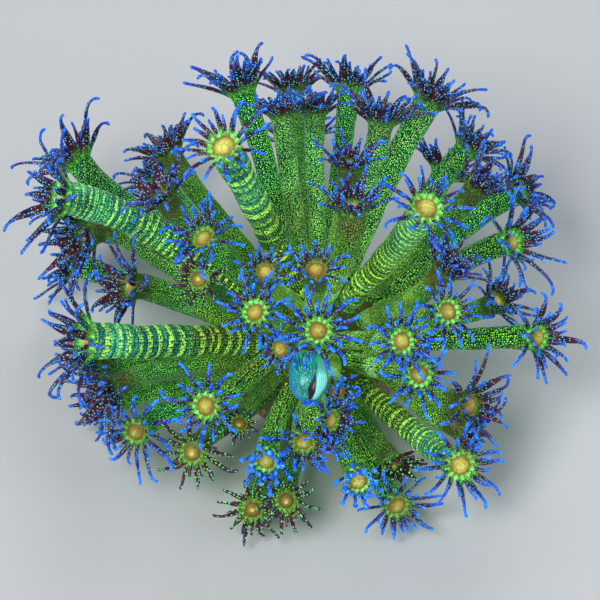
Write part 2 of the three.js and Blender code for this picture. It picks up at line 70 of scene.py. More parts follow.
class Coat(Enum):
    """Colouring of a polyp."""

    SPECKLED = Tone()
    GLOWING = Tone(olive=0.45, maroon=0.1, glow=1.0, cream=0.15)
    RINGED = Tone(band=3.1, olive=0.1, maroon=0.05, glow=1.0, cream=1.0)
    BANDED = Tone(band=2.6, olive=0.05, glow=1.0, cream=0.9)
    FINE_RINGED = Tone(band=1.7, glow=1.0, cream=0.8)
    PLUM = Tone(olive=0.45, maroon=1.0, glow=0.3, cream=0.3)
    OLIVE = Tone(olive=1.0, maroon=0.8, glow=0.5, cream=0.4)
    FROSTED = Tone(olive=0.1, maroon=0.35, glow=0.45, cream=0.3, frost=1.0)
    SHADED = Tone(olive=0.6, maroon=0.6, shade=1.0, glow=0.6)
    CLOSED = Tone(glow=0.0)


@dataclass(frozen=True)
class Head:
    """One polyp as measured: the place of its mouth, where it looks, and its sizes in mm.

    at is across, up and toward in the leaning plane. heading is the way it looks in the
    plane, in degrees from across, and facing is 1 straight out of the plane, 0 along it.
    curl is how far the tentacle tips hook outwards, in degrees, and inwards below nought.
    """

    name: str
    at: tuple[float, float, float]
    heading: float
    facing: float
    length: float
    open: float
    girth: float
    coat: Coat = Coat.SPECKLED
    curl: float = 25.0


HEADS = (
    # left fan, from the top down
    Head("polyp_01", (-55, 43, -2), 130, -0.05, 11.5, 52, 2.6, curl=40),
    Head("polyp_02", (-58, 33.5, 20), 172, 0.45, 11.5, 56, 3.5, Coat.FINE_RINGED, curl=40),
    Head("polyp_03", (-53, 24.5, 4), 205, 0.5, 12.5, 50, 2.6, Coat.PLUM, curl=30),
    Head("polyp_04", (-42.5, 13.5, 18), 178, 0.5, 10.5, 66, 2.6, Coat.PLUM),
    Head("polyp_05", (-52, 1.5, 34), 176, 0.35, 13.5, 62, 3.7, Coat.BANDED, curl=35),
    Head("polyp_06", (-46, -10, 25), 212, 0.4, 12.5, 58, 2.2, Coat.PLUM, curl=45),
    Head("polyp_07", (-50.5, -5, 11), 190, 0.2, 7.5, 55, 2.3, Coat.PLUM),
    Head("polyp_08", (-49, -14, 14), 200, 0.35, 7, 58, 2.2, Coat.PLUM),
    Head("polyp_09", (-40.5, -19.5, 30), 222, 0.85, 9.5, 74, 2.5),
    # lower front
    Head("polyp_10", (-27.5, -24, 32), 245, 0.93, 8, 80, 2.4, Coat.SHADED, curl=5),
    Head("polyp_11", (-24.5, -13, 45), 190, 0.93, 8, 78, 2.6, Coat.GLOWING),
    Head("polyp_12", (-17, -17.5, 35), 250, 0.9, 3.2, 60, 1.8, Coat.SHADED),
    Head("polyp_13", (-11, -25.5, 42), 262, 0.9, 6, 20, 2.5, Coat.GLOWING, curl=-25),
    Head("polyp_14", (-14, -36.5, 31), 265, 0.97, 6.3, 80, 2.2, Coat.SHADED, curl=5),
    Head("polyp_15", (-6.5, -34.5, 34), 275, 0.97, 5.8, 80, 2.1, Coat.SHADED, curl=5),
    Head("polyp_16", (-2.5, -21.5, 41), 270, 0.78, 8, 70, 2.4),
    Head("polyp_17", (4, -15.5, 47), 350, 0.62, 7, 66, 2.4),
    Head("polyp_18", (9.5, -30, 37), 280, 0.95, 5.5, 18, 2.5, Coat.GLOWING, curl=-25),
    Head("polyp_19", (18.5, -36, 31), 300, 0.82, 8, 74, 2.5, curl=-20),
    Head("polyp_20", (17.5, -28, 27), 300, 0.5, 6, 55, 2.1, Coat.SHADED, curl=5),
    Head("polyp_21", (32.5, -26.5, 36), 330, 0.92, 9, 76, 2.9, Coat.FINE_RINGED, curl=10),
    Head("polyp_22", (34, -19.5, 27), 335, 0.1, 9, 58, 2.4, Coat.PLUM),
    Head("polyp_23", (35, -13, 35), 355, 0.68, 11, 62, 2.5, Coat.PLUM),
    # middle, nearest the eye
    Head("polyp_24", (23, -6, 50), 0, 0.95, 7, 78, 2.4, Coat.GLOWING),
    Head("polyp_25", (19, 1.5, 55), 20, 0.97, 6.5, 78, 2.3, Coat.GLOWING),
    Head("polyp_26", (0.5, 4, 60), 90, 0.97, 8, 76, 2.5, Coat.GLOWING),
    Head("polyp_27", (-13.5, 8, 52), 130, 0.93, 7.2, 76, 2.4, Coat.GLOWING),
    Head("polyp_28", (-11, 17, 45), 90, 0.9, 5, 66, 2, Coat.PLUM, curl=5),
    Head("polyp_29", (-26, 15, 42), 150, 0.93, 4.5, 70, 2.1, Coat.SHADED, curl=5),
    Head("polyp_30", (-25, 24.5, 47), 130, 0.75, 8.5, 70, 2.4),
    Head("polyp_31", (0, 17.5, 56), 95, 0.85, 6, 66, 2.2, Coat.PLUM, curl=5),
    Head("polyp_32", (5, -10.5, 41), 300, 0.85, 4, 52, 1.8, Coat.PLUM),
    Head("polyp_33", (29.5, 8, 48), 20, 0.9, 7, 74, 2.4, Coat.GLOWING),
    Head("polyp_34", (29.5, 18, 40), 50, 0.4, 7.5, 42, 2.4, Coat.PLUM, curl=5),
    Head("polyp_58", (-7.8, -1.1, 48), 200, 0.85, 4, 62, 1.8, Coat.PLUM),
    # upper fan, from left to right
    Head("polyp_35", (-34.5, 34, 32), 130, 0.45, 9, 58, 2.4, Coat.PLUM),
    Head("polyp_36", (-20.5, 44.5, 50), 120, 0.8, 9, 72, 3.3, Coat.RINGED),
    Head("polyp_37", (-33.5, 44.5, 14), 122, 0.1, 8.5, 48, 2.2, Coat.PLUM),
    Head("polyp_38", (-17, 59, 8), 110, 0.15, 9.5, 45, 2.5),
    Head("polyp_39", (-5.5, 60.5, -26), 95, -0.05, 7.5, 52, 2.3, Coat.PLUM),
    Head("polyp_40", (-7.5, 53, 26), 96, 0.2, 7, 48, 2.2, Coat.FROSTED),
    Head("polyp_41", (0, 54, 17), 88, 0.2, 7.5, 48, 2.1, Coat.FROSTED),
    Head("polyp_42", (8, 60, -12), 85, -0.1, 9.8, 50, 2.2),
    Head("polyp_43", (15, 51.5, 22), 80, 0.2, 10, 52, 2.4, Coat.FROSTED),
    Head("polyp_44", (7.5, 41, 43), 88, 0.45, 7.5, 42, 2.4, Coat.PLUM, curl=0),
    Head("polyp_45", (8, 31.5, 53), 88, 0.5, 8, 44, 2.8, Coat.OLIVE, curl=0),
    Head("polyp_46", (26.5, 56.5, 10), 58, 0.25, 10.5, 55, 2.8, Coat.FROSTED, curl=40),
    Head("polyp_47", (35.5, 45.5, 4), 45, 0.2, 10, 54, 2.3),
    Head("polyp_48", (37, 36.5, 19), 52, 0.35, 8, 28, 2.3, Coat.PLUM, curl=-15),
    Head("polyp_49", (47.5, 36, -6), 28, 0.4, 9.5, 60, 2.8, curl=40),
    Head("polyp_50", (45, 23.5, 22), 12, 0.65, 12.5, 62, 2.5, Coat.GLOWING, curl=15),
    Head("polyp_51", (24.5, 31, 52), 62, 0.85, 8.5, 74, 3.1, Coat.FINE_RINGED),
    Head("polyp_52", (42, 10.5, 5), 32, 0.62, 8.5, 55, 2.2, Coat.PLUM),
    Head("polyp_53", (50.5, 2, 26), 0, 0.7, 10.5, 60, 2.5, Coat.GLOWING),
    # back, low down behind the rest
    Head("polyp_54", (-56, 19, -10), 160, 0, 9.5, 60, 2.4),
    Head("polyp_55", (-37, 40, -27), 124, -0.1, 9.5, 60, 2.4),
    Head("polyp_56", (-4, 48.5, -35), 95, -0.1, 9.5, 60, 2.4),
    Head("polyp_57", (31, 41, -30), 60, -0.1, 9.5, 60, 2.4),
    # drawn in, with its tentacles folded over its mouth
    Head("closed_polyp", (-1.5, -10, 47), 272, 0.35, 3.2, 12, 3.5, Coat.CLOSED, curl=-20),
)


@dataclass(frozen=True)
class LeaningPlane:
    """The plane that the heads are measured in, through the heart of the dome."""

    lean: float = 50.0
    heart_height: float = 9.0

    @property
    def heart(self) -> np.ndarray:
        """Centre of the dome, in mm."""
        return np.array([0.0, 0.0, self.heart_height])

    @property
    def axes(self) -> np.ndarray:
        """Rows across, up and toward as unit directions in the row frame."""
        sine, cosine = math.sin(math.radians(self.lean)), math.cos(math.radians(self.lean))
        return np.array([[1.0, 0.0, 0.0], [0.0, sine, cosine], [0.0, -cosine, sine]])


PLANE = LeaningPlane()
GLARE_AT = np.array([7.0, 3.5, 30.0])  # across, up and toward, in mm
# Middle of the painted glare and pool of light, pale mint highlights painted on the middle
# columns, in metres of the row frame.
GLARE = tuple(METRES * (PLANE.heart + GLARE_AT @ PLANE.axes))


def unit(vectors: np.ndarray) -> np.ndarray:
    """Vectors over their own lengths, along the last axis."""
    lengths = np.linalg.norm(vectors, axis=-1, keepdims=True)
    return vectors / np.maximum(lengths, LEAST_LENGTH)


def smoothstep(low: float, high: float, value: np.ndarray) -> np.ndarray:
    """0 up to low, 1 from high, and 3t^2 - 2t^3 between them."""
    share = np.clip((value - low) / (high - low), 0.0, 1.0)
    return share * share * (3.0 - 2.0 * share)


def dot(one: np.ndarray, other: np.ndarray) -> np.ndarray:
    """Dot products along the last axis, which is kept."""
    return np.sum(one * other, axis=-1, keepdims=True)


def squared_distances(one: np.ndarray, other: np.ndarray) -> np.ndarray:
    """Squared distance of each point to each other one: a^2 + b^2 - 2ab."""
    squares = np.sum(one**2, axis=1)[:, None] + np.sum(other**2, axis=1)[None, :]
    return squares - 2.0 * one @ other.T


def angles_round(count: int) -> np.ndarray:
    """Angles of the points of a ring, from 0."""
    return TURN * np.arange(count) / count


def skin_of(shape: tuple[int, ...], *parts: np.ndarray) -> np.ndarray:
    """Three numbers a point, each spread over the shape of the points."""
    return np.stack([np.broadcast_to(part, shape) for part in parts], axis=-1)


@dataclass
class Surface:
    """A closed patchwork of grids: points in mm, faces, finish numbers and skin data.

    skin holds three numbers a point that the finishes read as they need, share one more,
    and seed one that is the same all over a column or a tentacle.
    """

    points: list[np.ndarray] = field(default_factory=list)
    faces: list[list[int]] = field(default_factory=list)
    finishes: list[np.ndarray] = field(default_factory=list)
    skin: list[np.ndarray] = field(default_factory=list)
    share: list[np.ndarray] = field(default_factory=list)
    seed: list[np.ndarray] = field(default_factory=list)
    count: int = 0

    def add_tubes(
        self,
        rings: np.ndarray,
        poles: np.ndarray,
        skin: np.ndarray,
        share: np.ndarray,
        seed: np.ndarray,
        finish: np.ndarray,
    ) -> None:
        """Adds closed tubes. Row r joins to row r + 1 and the end rows to their poles.

        Args:
            rings: Points of shape (tubes, rows, around, 3), anticlockwise about the path.
            poles: Start and end points, (tubes, 2, 3).
            skin: Skin data of the ring points, shaped as rings.
            share: One number a row of each tube, (tubes, rows).
            seed: One number a tube, (tubes,).
            finish: Finish number of each band of faces, (rows + 1,).
        """
        tubes, rows, around, _ = rings.shape
        each = rows * around + 2
        start = self.count + each * np.arange(tubes)[:, None, None]
        ring = start + around * np.arange(rows)[None, :, None] + np.arange(around)
        ahead = np.roll(ring, -1, axis=2)
        quads = np.stack([ring[:, :-1], ahead[:, :-1], ahead[:, 1:], ring[:, 1:]], axis=-1)
        first = np.broadcast_to(start + rows * around, (tubes, 1, around))
        last = first + 1
        low = np.stack([ahead[:, :1], ring[:, :1], first], axis=-1)
        high = np.stack([ring[:, -1:], ahead[:, -1:], last], axis=-1)
        self.faces += low.reshape(-1, 3).tolist()
        self.faces += quads.reshape(-1, 4).tolist()
        self.faces += high.reshape(-1, 3).tolist()
        band = np.broadcast_to(finish[1:-1, None], (tubes, rows - 1, around))
        self.finishes.append(np.full(tubes * around, finish[0]))
        self.finishes.append(band.reshape(-1))
        self.finishes.append(np.full(tubes * around, finish[-1]))
        self.points.append(self._with_poles(rings, poles))
        ends = np.stack([skin[:, 0].mean(axis=1), skin[:, -1].mean(axis=1)], axis=1)
        self.skin.append(self._with_poles(skin, ends))
        shares = np.repeat(share, around, axis=1)
        self.share.append(np.concatenate([shares, share[:, [0, -1]]], axis=1).ravel())
        self.seed.append(np.repeat(seed, each))
        self.count += tubes * each

    @staticmethod
    def _with_poles(rows: np.ndarray, poles: np.ndarray) -> np.ndarray:
        """Ring values with the two pole values after each tube's, as one list of rows."""
        flat = rows.reshape(len(rows), -1, 3)
        return np.concatenate([flat, poles], axis=1).reshape(-1, 3)

    def build(self, name: str, materials: list[bpy.types.Material]) -> bpy.types.Object:
        """Makes the object, with its place in its mesh.

        Args:
            name: Name of the piece.
            materials: Materials in the order of the finish numbers.

        Returns:
            The new object, in the scene.
        """
        mesh = bpy.data.meshes.new(name)
        points = np.concatenate(self.points) * METRES
        mesh.from_pydata(points.tolist(), [], self.faces)
        for label, kind, values in (
            ("skin", "FLOAT_VECTOR", self.skin),
            ("share", "FLOAT", self.share),
            ("seed", "FLOAT", self.seed),
        ):
            key = "vector" if kind == "FLOAT_VECTOR" else "value"
            data = np.concatenate(values).astype(np.float32).ravel()
            mesh.attributes.new(label, kind, "POINT").data.foreach_set(key, data)
        for material in materials:
            mesh.materials.append(material)
        finishes = np.concatenate(self.finishes).astype(np.int32)
        mesh.polygons.foreach_set("material_index", finishes)
        mesh.polygons.foreach_set("use_smooth", np.ones(len(finishes), dtype=bool))
        mesh.update()
        piece = bpy.data.objects.new(name, mesh)
        bpy.context.scene.collection.objects.link(piece)
        return piece


@dataclass
class Layout:
    """Where every polyp stands: root, path of its column, and crown.

    The roots are pushed apart on the dome and the columns between each other, all at once,
    round after round.
    """

    heads: tuple[Head, ...]
    dome_radius: float = 17.0
    seat_gap: float = 0.4
    mouth_height: float = 3.2
    rim_height: float = 1.5
    root_taper: float = 0.84
    crown_flare: float = 1.12
    rim_margin: float = 0.35
    steps: int = 20
    root_rounds: int = 400
    root_gap: float = 0.9
    lowest_root: float = 5.4
    column_rounds: int = 260
    column_gap: float = 1.1
    crown_room: float = 1.0
    smoothing: float = 0.3
    push_share: float = 0.6
    return_share: float = 0.03
    head_return_share: float = 0.08
    handle_share: float = 0.36
    flare_from: float = 0.75
    taper_rate: float = 1.6
    near_margin: float = 3.0
    rounds_between_searches: int = 20
    least_root_distance: float = 1e-6
    least_ball_distance: float = 0.01
    least_side: float = 0.05

    def settle(self) -> None:
        """Works out axes, roots and paths of all the heads."""
        self.girth = np.array([head.girth for head in self.heads])
        self.rim = self.girth * self.crown_flare + self.rim_margin
        level = np.radians([head.heading for head in self.heads])
        facing = np.array([head.facing for head in self.heads])
        along = np.sqrt(1.0 - facing**2)
        look = np.stack([np.cos(level) * along, np.sin(level) * along, facing], axis=1)
        self.axis = look @ PLANE.axes
        mouth = np.array([head.at for head in self.heads]) @ PLANE.axes + PLANE.heart
        self.neck = mouth - self.axis * self.mouth_height
        self.root = self._on_dome(self.neck)
        self._settle_roots()
        self._settle_columns()

    def column_radius(self, share: np.ndarray) -> np.ndarray:
        """Radius of every column: a taper at the root plus a flare under the crown.

        Args:
            share: Shares of the column's length, from the root up.

        Returns:
            Radii in mm, (polyps, shares).
        """
        flare = smoothstep(self.flare_from, 1.0, share) * (self.crown_flare - 1.0)
        grown = np.minimum(1.0, self.taper_rate * share)
        taper = self.root_taper + (1.0 - self.root_taper) * grown
        return self.girth[:, None] * (taper + flare)[None, :]

    def _on_dome(self, points: np.ndarray) -> np.ndarray:
        """Points moved along their line from the heart to the seats on the dome."""
        reach = self.dome_radius + self.seat_gap
        return PLANE.heart + unit(points - PLANE.heart) * reach

    def _settle_roots(self) -> None:
        """Roots closer than their radii and the gap share the move apart, in each round."""
        radius = self.column_radius(np.zeros(1))[:, 0]
        need = radius[:, None] + radius[None, :] + self.root_gap
        np.fill_diagonal(need, 0.0)
        for _ in range(self.root_rounds):
            between = self.root[:, None] - self.root[None, :]
            apart = np.linalg.norm(between, axis=2)
            lack = np.maximum(need - apart, 0.0) / 2.0
            lack = lack / np.maximum(apart, self.least_root_distance)
            self.root = self.root + np.sum(between * lack[:, :, None], axis=1)
            self.root[:, 2] = np.maximum(self.root[:, 2], radius + self.lowest_root)
            self.root = self._on_dome(self.root)

    def _first_bend(self) -> np.ndarray:
        """Cubic curves square to the dome and in line with the crowns: the Bernstein sum.

        Returns:
            Points of every column, (polyps, steps + 1, 3).
        """
        outward = unit(self.root - PLANE.heart)
        handle = self.handle_share * np.linalg.norm(self.neck - self.root, axis=1)[:, None]
        t = np.linspace(0.0, 1.0, self.steps + 1)[None, :, None]
        near = self.root + outward * handle
        far = self.neck - self.axis * handle
        return (
            (1 - t) ** 3 * self.root[:, None]
            + 3 * t * (1 - t) ** 2 * near[:, None]
            + 3 * t**2 * (1 - t) * far[:, None]
            + t**3 * self.neck[:, None]
        )

    def _settle_columns(self) -> None:
        """Balls along the columns push apart, heads move as one, and the rest is smoothed."""
        first = self._first_bend()
        path = first.copy()
        top = self.steps
        share = np.linspace(0.0, 1.0, top + 1)
        columns = self.column_radius(share) + self.column_gap / 2.0
        radii = np.concatenate([columns, (self.rim + self.crown_room)[:, None]], axis=1)
        owner = np.repeat(np.arange(len(self.heads)), top + 2)
        flat_radii = radii.ravel()
        for turn in range(self.column_rounds):
            crown = path[:, top] + self.axis * self.rim_height
            balls = np.concatenate([path, crown[:, None]], axis=1).reshape(-1, 3)
            if turn % self.rounds_between_searches == 0:
                one, other = self._near_pairs(balls, flat_radii, owner)
            between = balls[one] - balls[other]
            apart = np.linalg.norm(between, axis=1)
            lack = np.maximum(flat_radii[one] + flat_radii[other] - apart, 0.0)
            apart = np.maximum(apart, self.least_ball_distance)
            push = between * (lack / 2.0 / apart)[:, None]
            shift = np.stack(
                [
                    np.bincount(one, push[:, axis], len(balls))
                    - np.bincount(other, push[:, axis], len(balls))
                    for axis in range(3)
                ],
                axis=1,
            ).reshape(len(self.heads), top + 2, 3)
            path = self._moved(path, first, shift)
        self.path = path

    def _near_pairs(
        self, balls: np.ndarray, radii: np.ndarray, owner: np.ndarray
    ) -> tuple[np.ndarray, np.ndarray]:
        """Finds the balls on different polyps that may touch in the next rounds.

        Args:
            balls: Middles of all the balls.
            radii: Their radii.
            owner: Number of the polyp that each is on.

        Returns:
            Numbers of the first and of the second ball of each pair.
        """
        reach = (radii[:, None] + radii[None, :] + self.near_margin) ** 2
        is_near = squared_distances(balls, balls) < reach
        return np.nonzero(np.triu(is_near & (owner[:, None] != owner[None, :])))

    def _moved(self, path: np.ndarray, first: np.ndarray, shift: np.ndarray) -> np.ndarray:
        """One round's move: push + pull to the first bend + half-way smoothing.

        Args:
            path: Points of every column.
            first: The same points as first bent.
            shift: Push on each ball, the crown's last.

        Returns:
            The moved points.
        """
        top = self.steps
        head = (shift[:, top + 1] + shift[:, top] + shift[:, top - 1]) * 0.5
        head = head + (first[:, top] - path[:, top]) * self.head_return_share
        moved = path.copy()
        inner = slice(2, top - 1)
        middle = (path[:, 1 : top - 2] + path[:, 3:top]) / 2.0
        moved[:, inner] += (middle - path[:, inner]) * self.smoothing
        moved[:, inner] += shift[:, inner] * self.push_share
        moved[:, inner] += (first[:, inner] - path[:, inner]) * self.return_share
        moved[:, top] += head
        moved[:, top - 1] += head
        return moved

    def sampled_path(self, index: int, shares: np.ndarray) -> np.ndarray:
        """A column's path, by Catmull-Rom through its steps.

        Args:
            index: Number of the polyp.
            shares: Shares of the column's length.

        Returns:
            A point for each share.
        """
        knots = self.path[index]
        before = 2.0 * knots[0] - knots[1]
        after = knots[-1] + self.axis[index] * np.linalg.norm(knots[-1] - knots[-2])
        padded = np.concatenate([[before], knots, [after]])
        place = np.clip(shares, 0.0, 1.0) * self.steps
        cell = np.minimum(place.astype(int), self.steps - 1)
        t = (place - cell)[:, None]
        a, b, c, d = (padded[cell + offset] for offset in range(4))
        return 0.5 * (
            2 * b
            + (c - a) * t
            + (2 * a - 5 * b + 4 * c - d) * t**2
            + (3 * b - a - 3 * c + d) * t**3
        )

    def cross_axes(self, index: int) -> tuple[np.ndarray, np.ndarray]:
        """Two directions square to a crown's axis, the first one level.

        Args:
            index: Number of the polyp.

        Returns:
            The unit directions.
        """
        axis = self.axis[index]
        side = np.array([-axis[1], axis[0], 0.0])
        if np.linalg.norm(side) < self.least_side:
            side = np.array([1.0, 0.0, 0.0])
        side = unit(side - axis * np.dot(side, axis))
        return side, np.cross(axis, side)


@dataclass
class PolypBody:
    """Column, rim, disc and mouth of a polyp, one closed surface round its path.

    Point (s, a) = path(s) + r(s, a) (cos a, sin a) in the frame carried down the path, where
    r is the column's radius with faint wrinkles and ribs, then the crown's profile.
    """

    layout: Layout
    index: int
    around: int = 48
    rows: int = 44
    wrinkle: float = 0.03
    rib: float = 0.012
    ribs: int = 24
    flutes: int = 12
    lobes: int = 12
    lobe_swell: float = 0.07
    lobe_height: float = 0.34
    lobe_lag: float = 0.6  # turn of the lobes' rise behind their swell
    root_depth: float = 1.4  # how far the root's end is sunk below the layout's, into the dome
    row_crowding: float = 1.15  # above 1, rows stand closer near the crown
    mouth_depth: float = 0.2

    # Crown from the neck to the mouth: share of the rim's radius, height in mm over the
    # neck, and how much of the lobes of the green ring it carries.
    OPEN_CROWN = np.array(
        [
            (0.93, 0.45, 0.0),
            (0.96, 0.95, 0.0),
            (1.00, 1.35, 0.2),
            (1.00, 1.72, 0.6),
            (0.95, 2.05, 1.0),
            (0.87, 2.22, 1.0),
            (0.79, 2.12, 0.8),
            (0.72, 1.88, 0.2),
            (0.66, 1.82, 0.0),
            (0.58, 2.02, 0.0),
            (0.49, 2.26, 0.0),
            (0.39, 2.42, 0.0),
            (0.29, 2.54, 0.0),
            (0.20, 2.68, 0.0),
            (0.14, 2.84, 0.0),
            (0.09, 2.80, 0.0),
            (0.05, 2.45, 0.0),
        ]
    )
    # The drawn-in head tapers over its tentacles to a pucker, with a slit down its front.
    CLOSED_CROWN = np.array(
        [
            (0.97, 0.45, 0.1),
            (0.98, 1.10, 0.2),
            (0.97, 1.80, 0.3),
            (0.93, 2.50, 0.4),
            (0.86, 3.20, 0.5),
            (0.77, 3.85, 0.6),
            (0.66, 4.45, 0.7),
            (0.53, 4.98, 0.8),
            (0.40, 5.38, 0.8),
            (0.27, 5.60, 0.6),
            (0.16, 5.55, 0.3),
            (0.08, 5.10, 0.0),
        ]
    )
    SLIT = -0.45  # angle of its top from the side that faces the eye
    SLIT_LEAN = 0.25
    SLIT_DEPTH = 0.2
    SLIT_HALF_WIDTH = 0.15
    SLIT_SHARES = (0.95, 1.9)  # of the length, 1 at the neck and 2 at the top
    LIP_SWELL = 0.1
    LIP_BESIDE = 0.55
    LIP_HALF_WIDTH = 0.4
    HEAD_SHARES = (0.85, 1.25)
    # Wrinkles across the column, in mm from one to the next, and their shares.
    FINE_WRINKLE = 2.3
    BROAD_WRINKLE = 13.0
    FINE_SHARE = 0.45
    BROAD_SHARE = 0.9
    RINGED_WRINKLE = 1.5  # wrinkles of a ringed polyp against the others'
    SWAY = 0.6
    SECOND_SWAY = 0.3
    # Under the head of the closed polyp.
    BULGE = 0.05
    BULGE_SHARES = (0.6, 0.9)
    FLUTE = 0.02
    FLUTE_SWAY = 0.8
    FLUTE_SHARES = (0.45, 0.8)
    RELIEF_SEED = 400
    DISC_ROW = 3
    COLUMN_FINISH = 0
    TENTACLE_FINISH = 1
    DISC_FINISH = 2

    def add_to(self, surface: Surface) -> None:
        """Adds the body's points and faces.

        Args:
            surface: The polyp's surface.
        """
        layout, index = self.layout, self.index
        closed = layout.heads[index].coat is Coat.CLOSED
        crown = self.CLOSED_CROWN if closed else self.OPEN_CROWN
        shares = 1.0 - (1.0 - np.linspace(0.0, 1.0, self.rows)) ** self.row_crowding
        angle = angles_round(self.around)
        column_radius = layout.column_radius(shares)[index][:, None]
        lobe = crown[:, 2:3] * np.cos(self.lobes * angle)[None, :]
        crown_radius = crown[:, :1] * layout.rim[index] * (1.0 + self.lobe_swell * lobe)
        radius = np.concatenate([column_radius * self._relief(shares, angle), crown_radius])
        axis = layout.axis[index]
        front = self._front() if closed else 0.0
        share = np.concatenate([shares, 1.0 + crown[:, 1] / crown[:, 1].max()])
        if closed:
            radius = radius * self._slit(share, angle - front)
        neck = layout.path[index][-1]
        centres = layout.sampled_path(index, shares)
        centres = np.concatenate([centres, neck + axis * crown[:, 1:2]])
        side, rise = self._carried_frame(centres)
        lobe_height = 0.0 if closed else self.lobe_height
        lift = crown[:, 2:3] * np.cos(self.lobes * angle + self.lobe_lag)[None, :] * lobe_height
        lift = np.concatenate([np.zeros((self.rows, self.around)), lift])
        rings = (
            centres[:, None]
            + radius[..., None] * np.cos(angle)[None, :, None] * side[:, None]
            + radius[..., None] * np.sin(angle)[None, :, None] * rise[:, None]
            + lift[..., None] * axis
        )
        sunk = unit(centres[0] - PLANE.heart) * self.root_depth
        rings[0] -= sunk
        run = np.cumsum(np.linalg.norm(np.diff(centres, axis=0, prepend=centres[:1]), axis=1))
        disc_start = len(centres) if closed else self.rows + self.DISC_ROW
        run[disc_start:] = crown[disc_start - self.rows :, 0]
        turned = angle - front
        skin = skin_of(radius.shape, np.cos(turned), np.sin(turned), run[:, None])
        last = neck + axis * (crown[-1, 1] - self.mouth_depth)
        finish = np.full(len(centres) + 1, self.COLUMN_FINISH)
        finish[disc_start:] = self.DISC_FINISH
        surface.add_tubes(
            rings[None],
            np.stack([centres[0] - sunk, last])[None],
            skin[None],
            share[None],
            np.array([float(index)]),
            finish,
        )

    def _front(self) -> float:
        """Angle round the crown that faces the eye."""
        side, rise = self.layout.cross_axes(self.index)
        toward = PLANE.axes[2]
        return math.atan2(float(np.dot(toward, rise)), float(np.dot(toward, side)))

    def _slit(self, share: np.ndarray, angle: np.ndarray) -> np.ndarray:
        """Factor on the radius: 1 - a Gaussian groove + a Gaussian lip beside it.

        Args:
            share: Share of the length at each row.
            angle: Angle of each point of a row from the side that faces the eye.

        Returns:
            The factors, (rows, around).
        """
        centre = self.SLIT + self.SLIT_LEAN * smoothstep(*self.SLIT_SHARES, share)[:, None]
        turn = np.angle(np.exp(1j * (angle[None, :] - centre)))
        groove = self.SLIT_DEPTH * np.exp(-((turn / self.SLIT_HALF_WIDTH) ** 2))
        beside = (turn + self.LIP_BESIDE) / self.LIP_HALF_WIDTH
        lip = self.LIP_SWELL * np.exp(-(beside**2))
        return 1.0 + smoothstep(*self.HEAD_SHARES, share)[:, None] * (lip - groove)

    def _relief(self, shares: np.ndarray, angle: np.ndarray) -> np.ndarray:
        """Factor on the radius: 1 + wrinkles across the column + ribs along it.

        The wrinkles are sine waves in the length whose phase sways with the angle; the ribs
        are a cosine of the angle. A closed polyp bulges under its head and is fluted there.

        Args:
            shares: Share of the length at each row.
            angle: Angle of each point of a row.

        Returns:
            The factors, (rows, around).
        """
        coat = self.layout.heads[self.index].coat
        rng = np.random.default_rng(self.RELIEF_SEED + self.index)
        phase = rng.uniform(0.0, TURN, 4)
        length = np.linalg.norm(np.diff(self.layout.path[self.index], axis=0), axis=1).sum()
        run = shares[:, None] * length
        sway = self.SWAY * np.sin(angle + phase[0])
        sway = sway + self.SECOND_SWAY * np.sin(2 * angle + phase[1])
        fine = np.sin(TURN * run / self.FINE_WRINKLE + sway[None, :] + phase[2])
        broad = np.sin(TURN * run / self.BROAD_WRINKLE + sway[None, :] * 2 + phase[3])
        wrinkle = self.wrinkle * (self.RINGED_WRINKLE if coat.value.band else 1.0)
        relief = 1.0 + wrinkle * (self.FINE_SHARE * fine + self.BROAD_SHARE * broad)
        relief = relief + self.rib * np.cos(self.ribs * angle)[None, :]
        if coat is Coat.CLOSED:
            bulge = self.BULGE * smoothstep(*self.BULGE_SHARES, shares)[:, None]
            flute = np.cos(self.flutes * angle + self.FLUTE_SWAY * np.sin(angle))
            flute = self.FLUTE * flute[None, :]
            relief = relief + bulge + flute * smoothstep(*self.FLUTE_SHARES, shares)[:, None]
        return relief

    def _carried_frame(self, centres: np.ndarray) -> tuple[np.ndarray, np.ndarray]:
        """Directions square to the path, carried down from the crown with least turn.

        Args:
            centres: Middle of each row, the crown's rows last.

        Returns:
            Two unit directions a row.
        """
        axis = self.layout.axis[self.index]
        along = unit(np.gradient(centres[: self.rows], axis=0))
        crown = np.broadcast_to(axis, (len(centres) - self.rows, 3))
        along = np.concatenate([along, crown])
        along[self.rows - 1] = axis
        side = np.empty_like(along)
        side[:], _ = self.layout.cross_axes(self.index)
        for row in range(self.rows - 2, -1, -1):
            side[row] = unit(side[row + 1] - along[row] * np.dot(side[row + 1], along[row]))
        return side, np.cross(along, side)


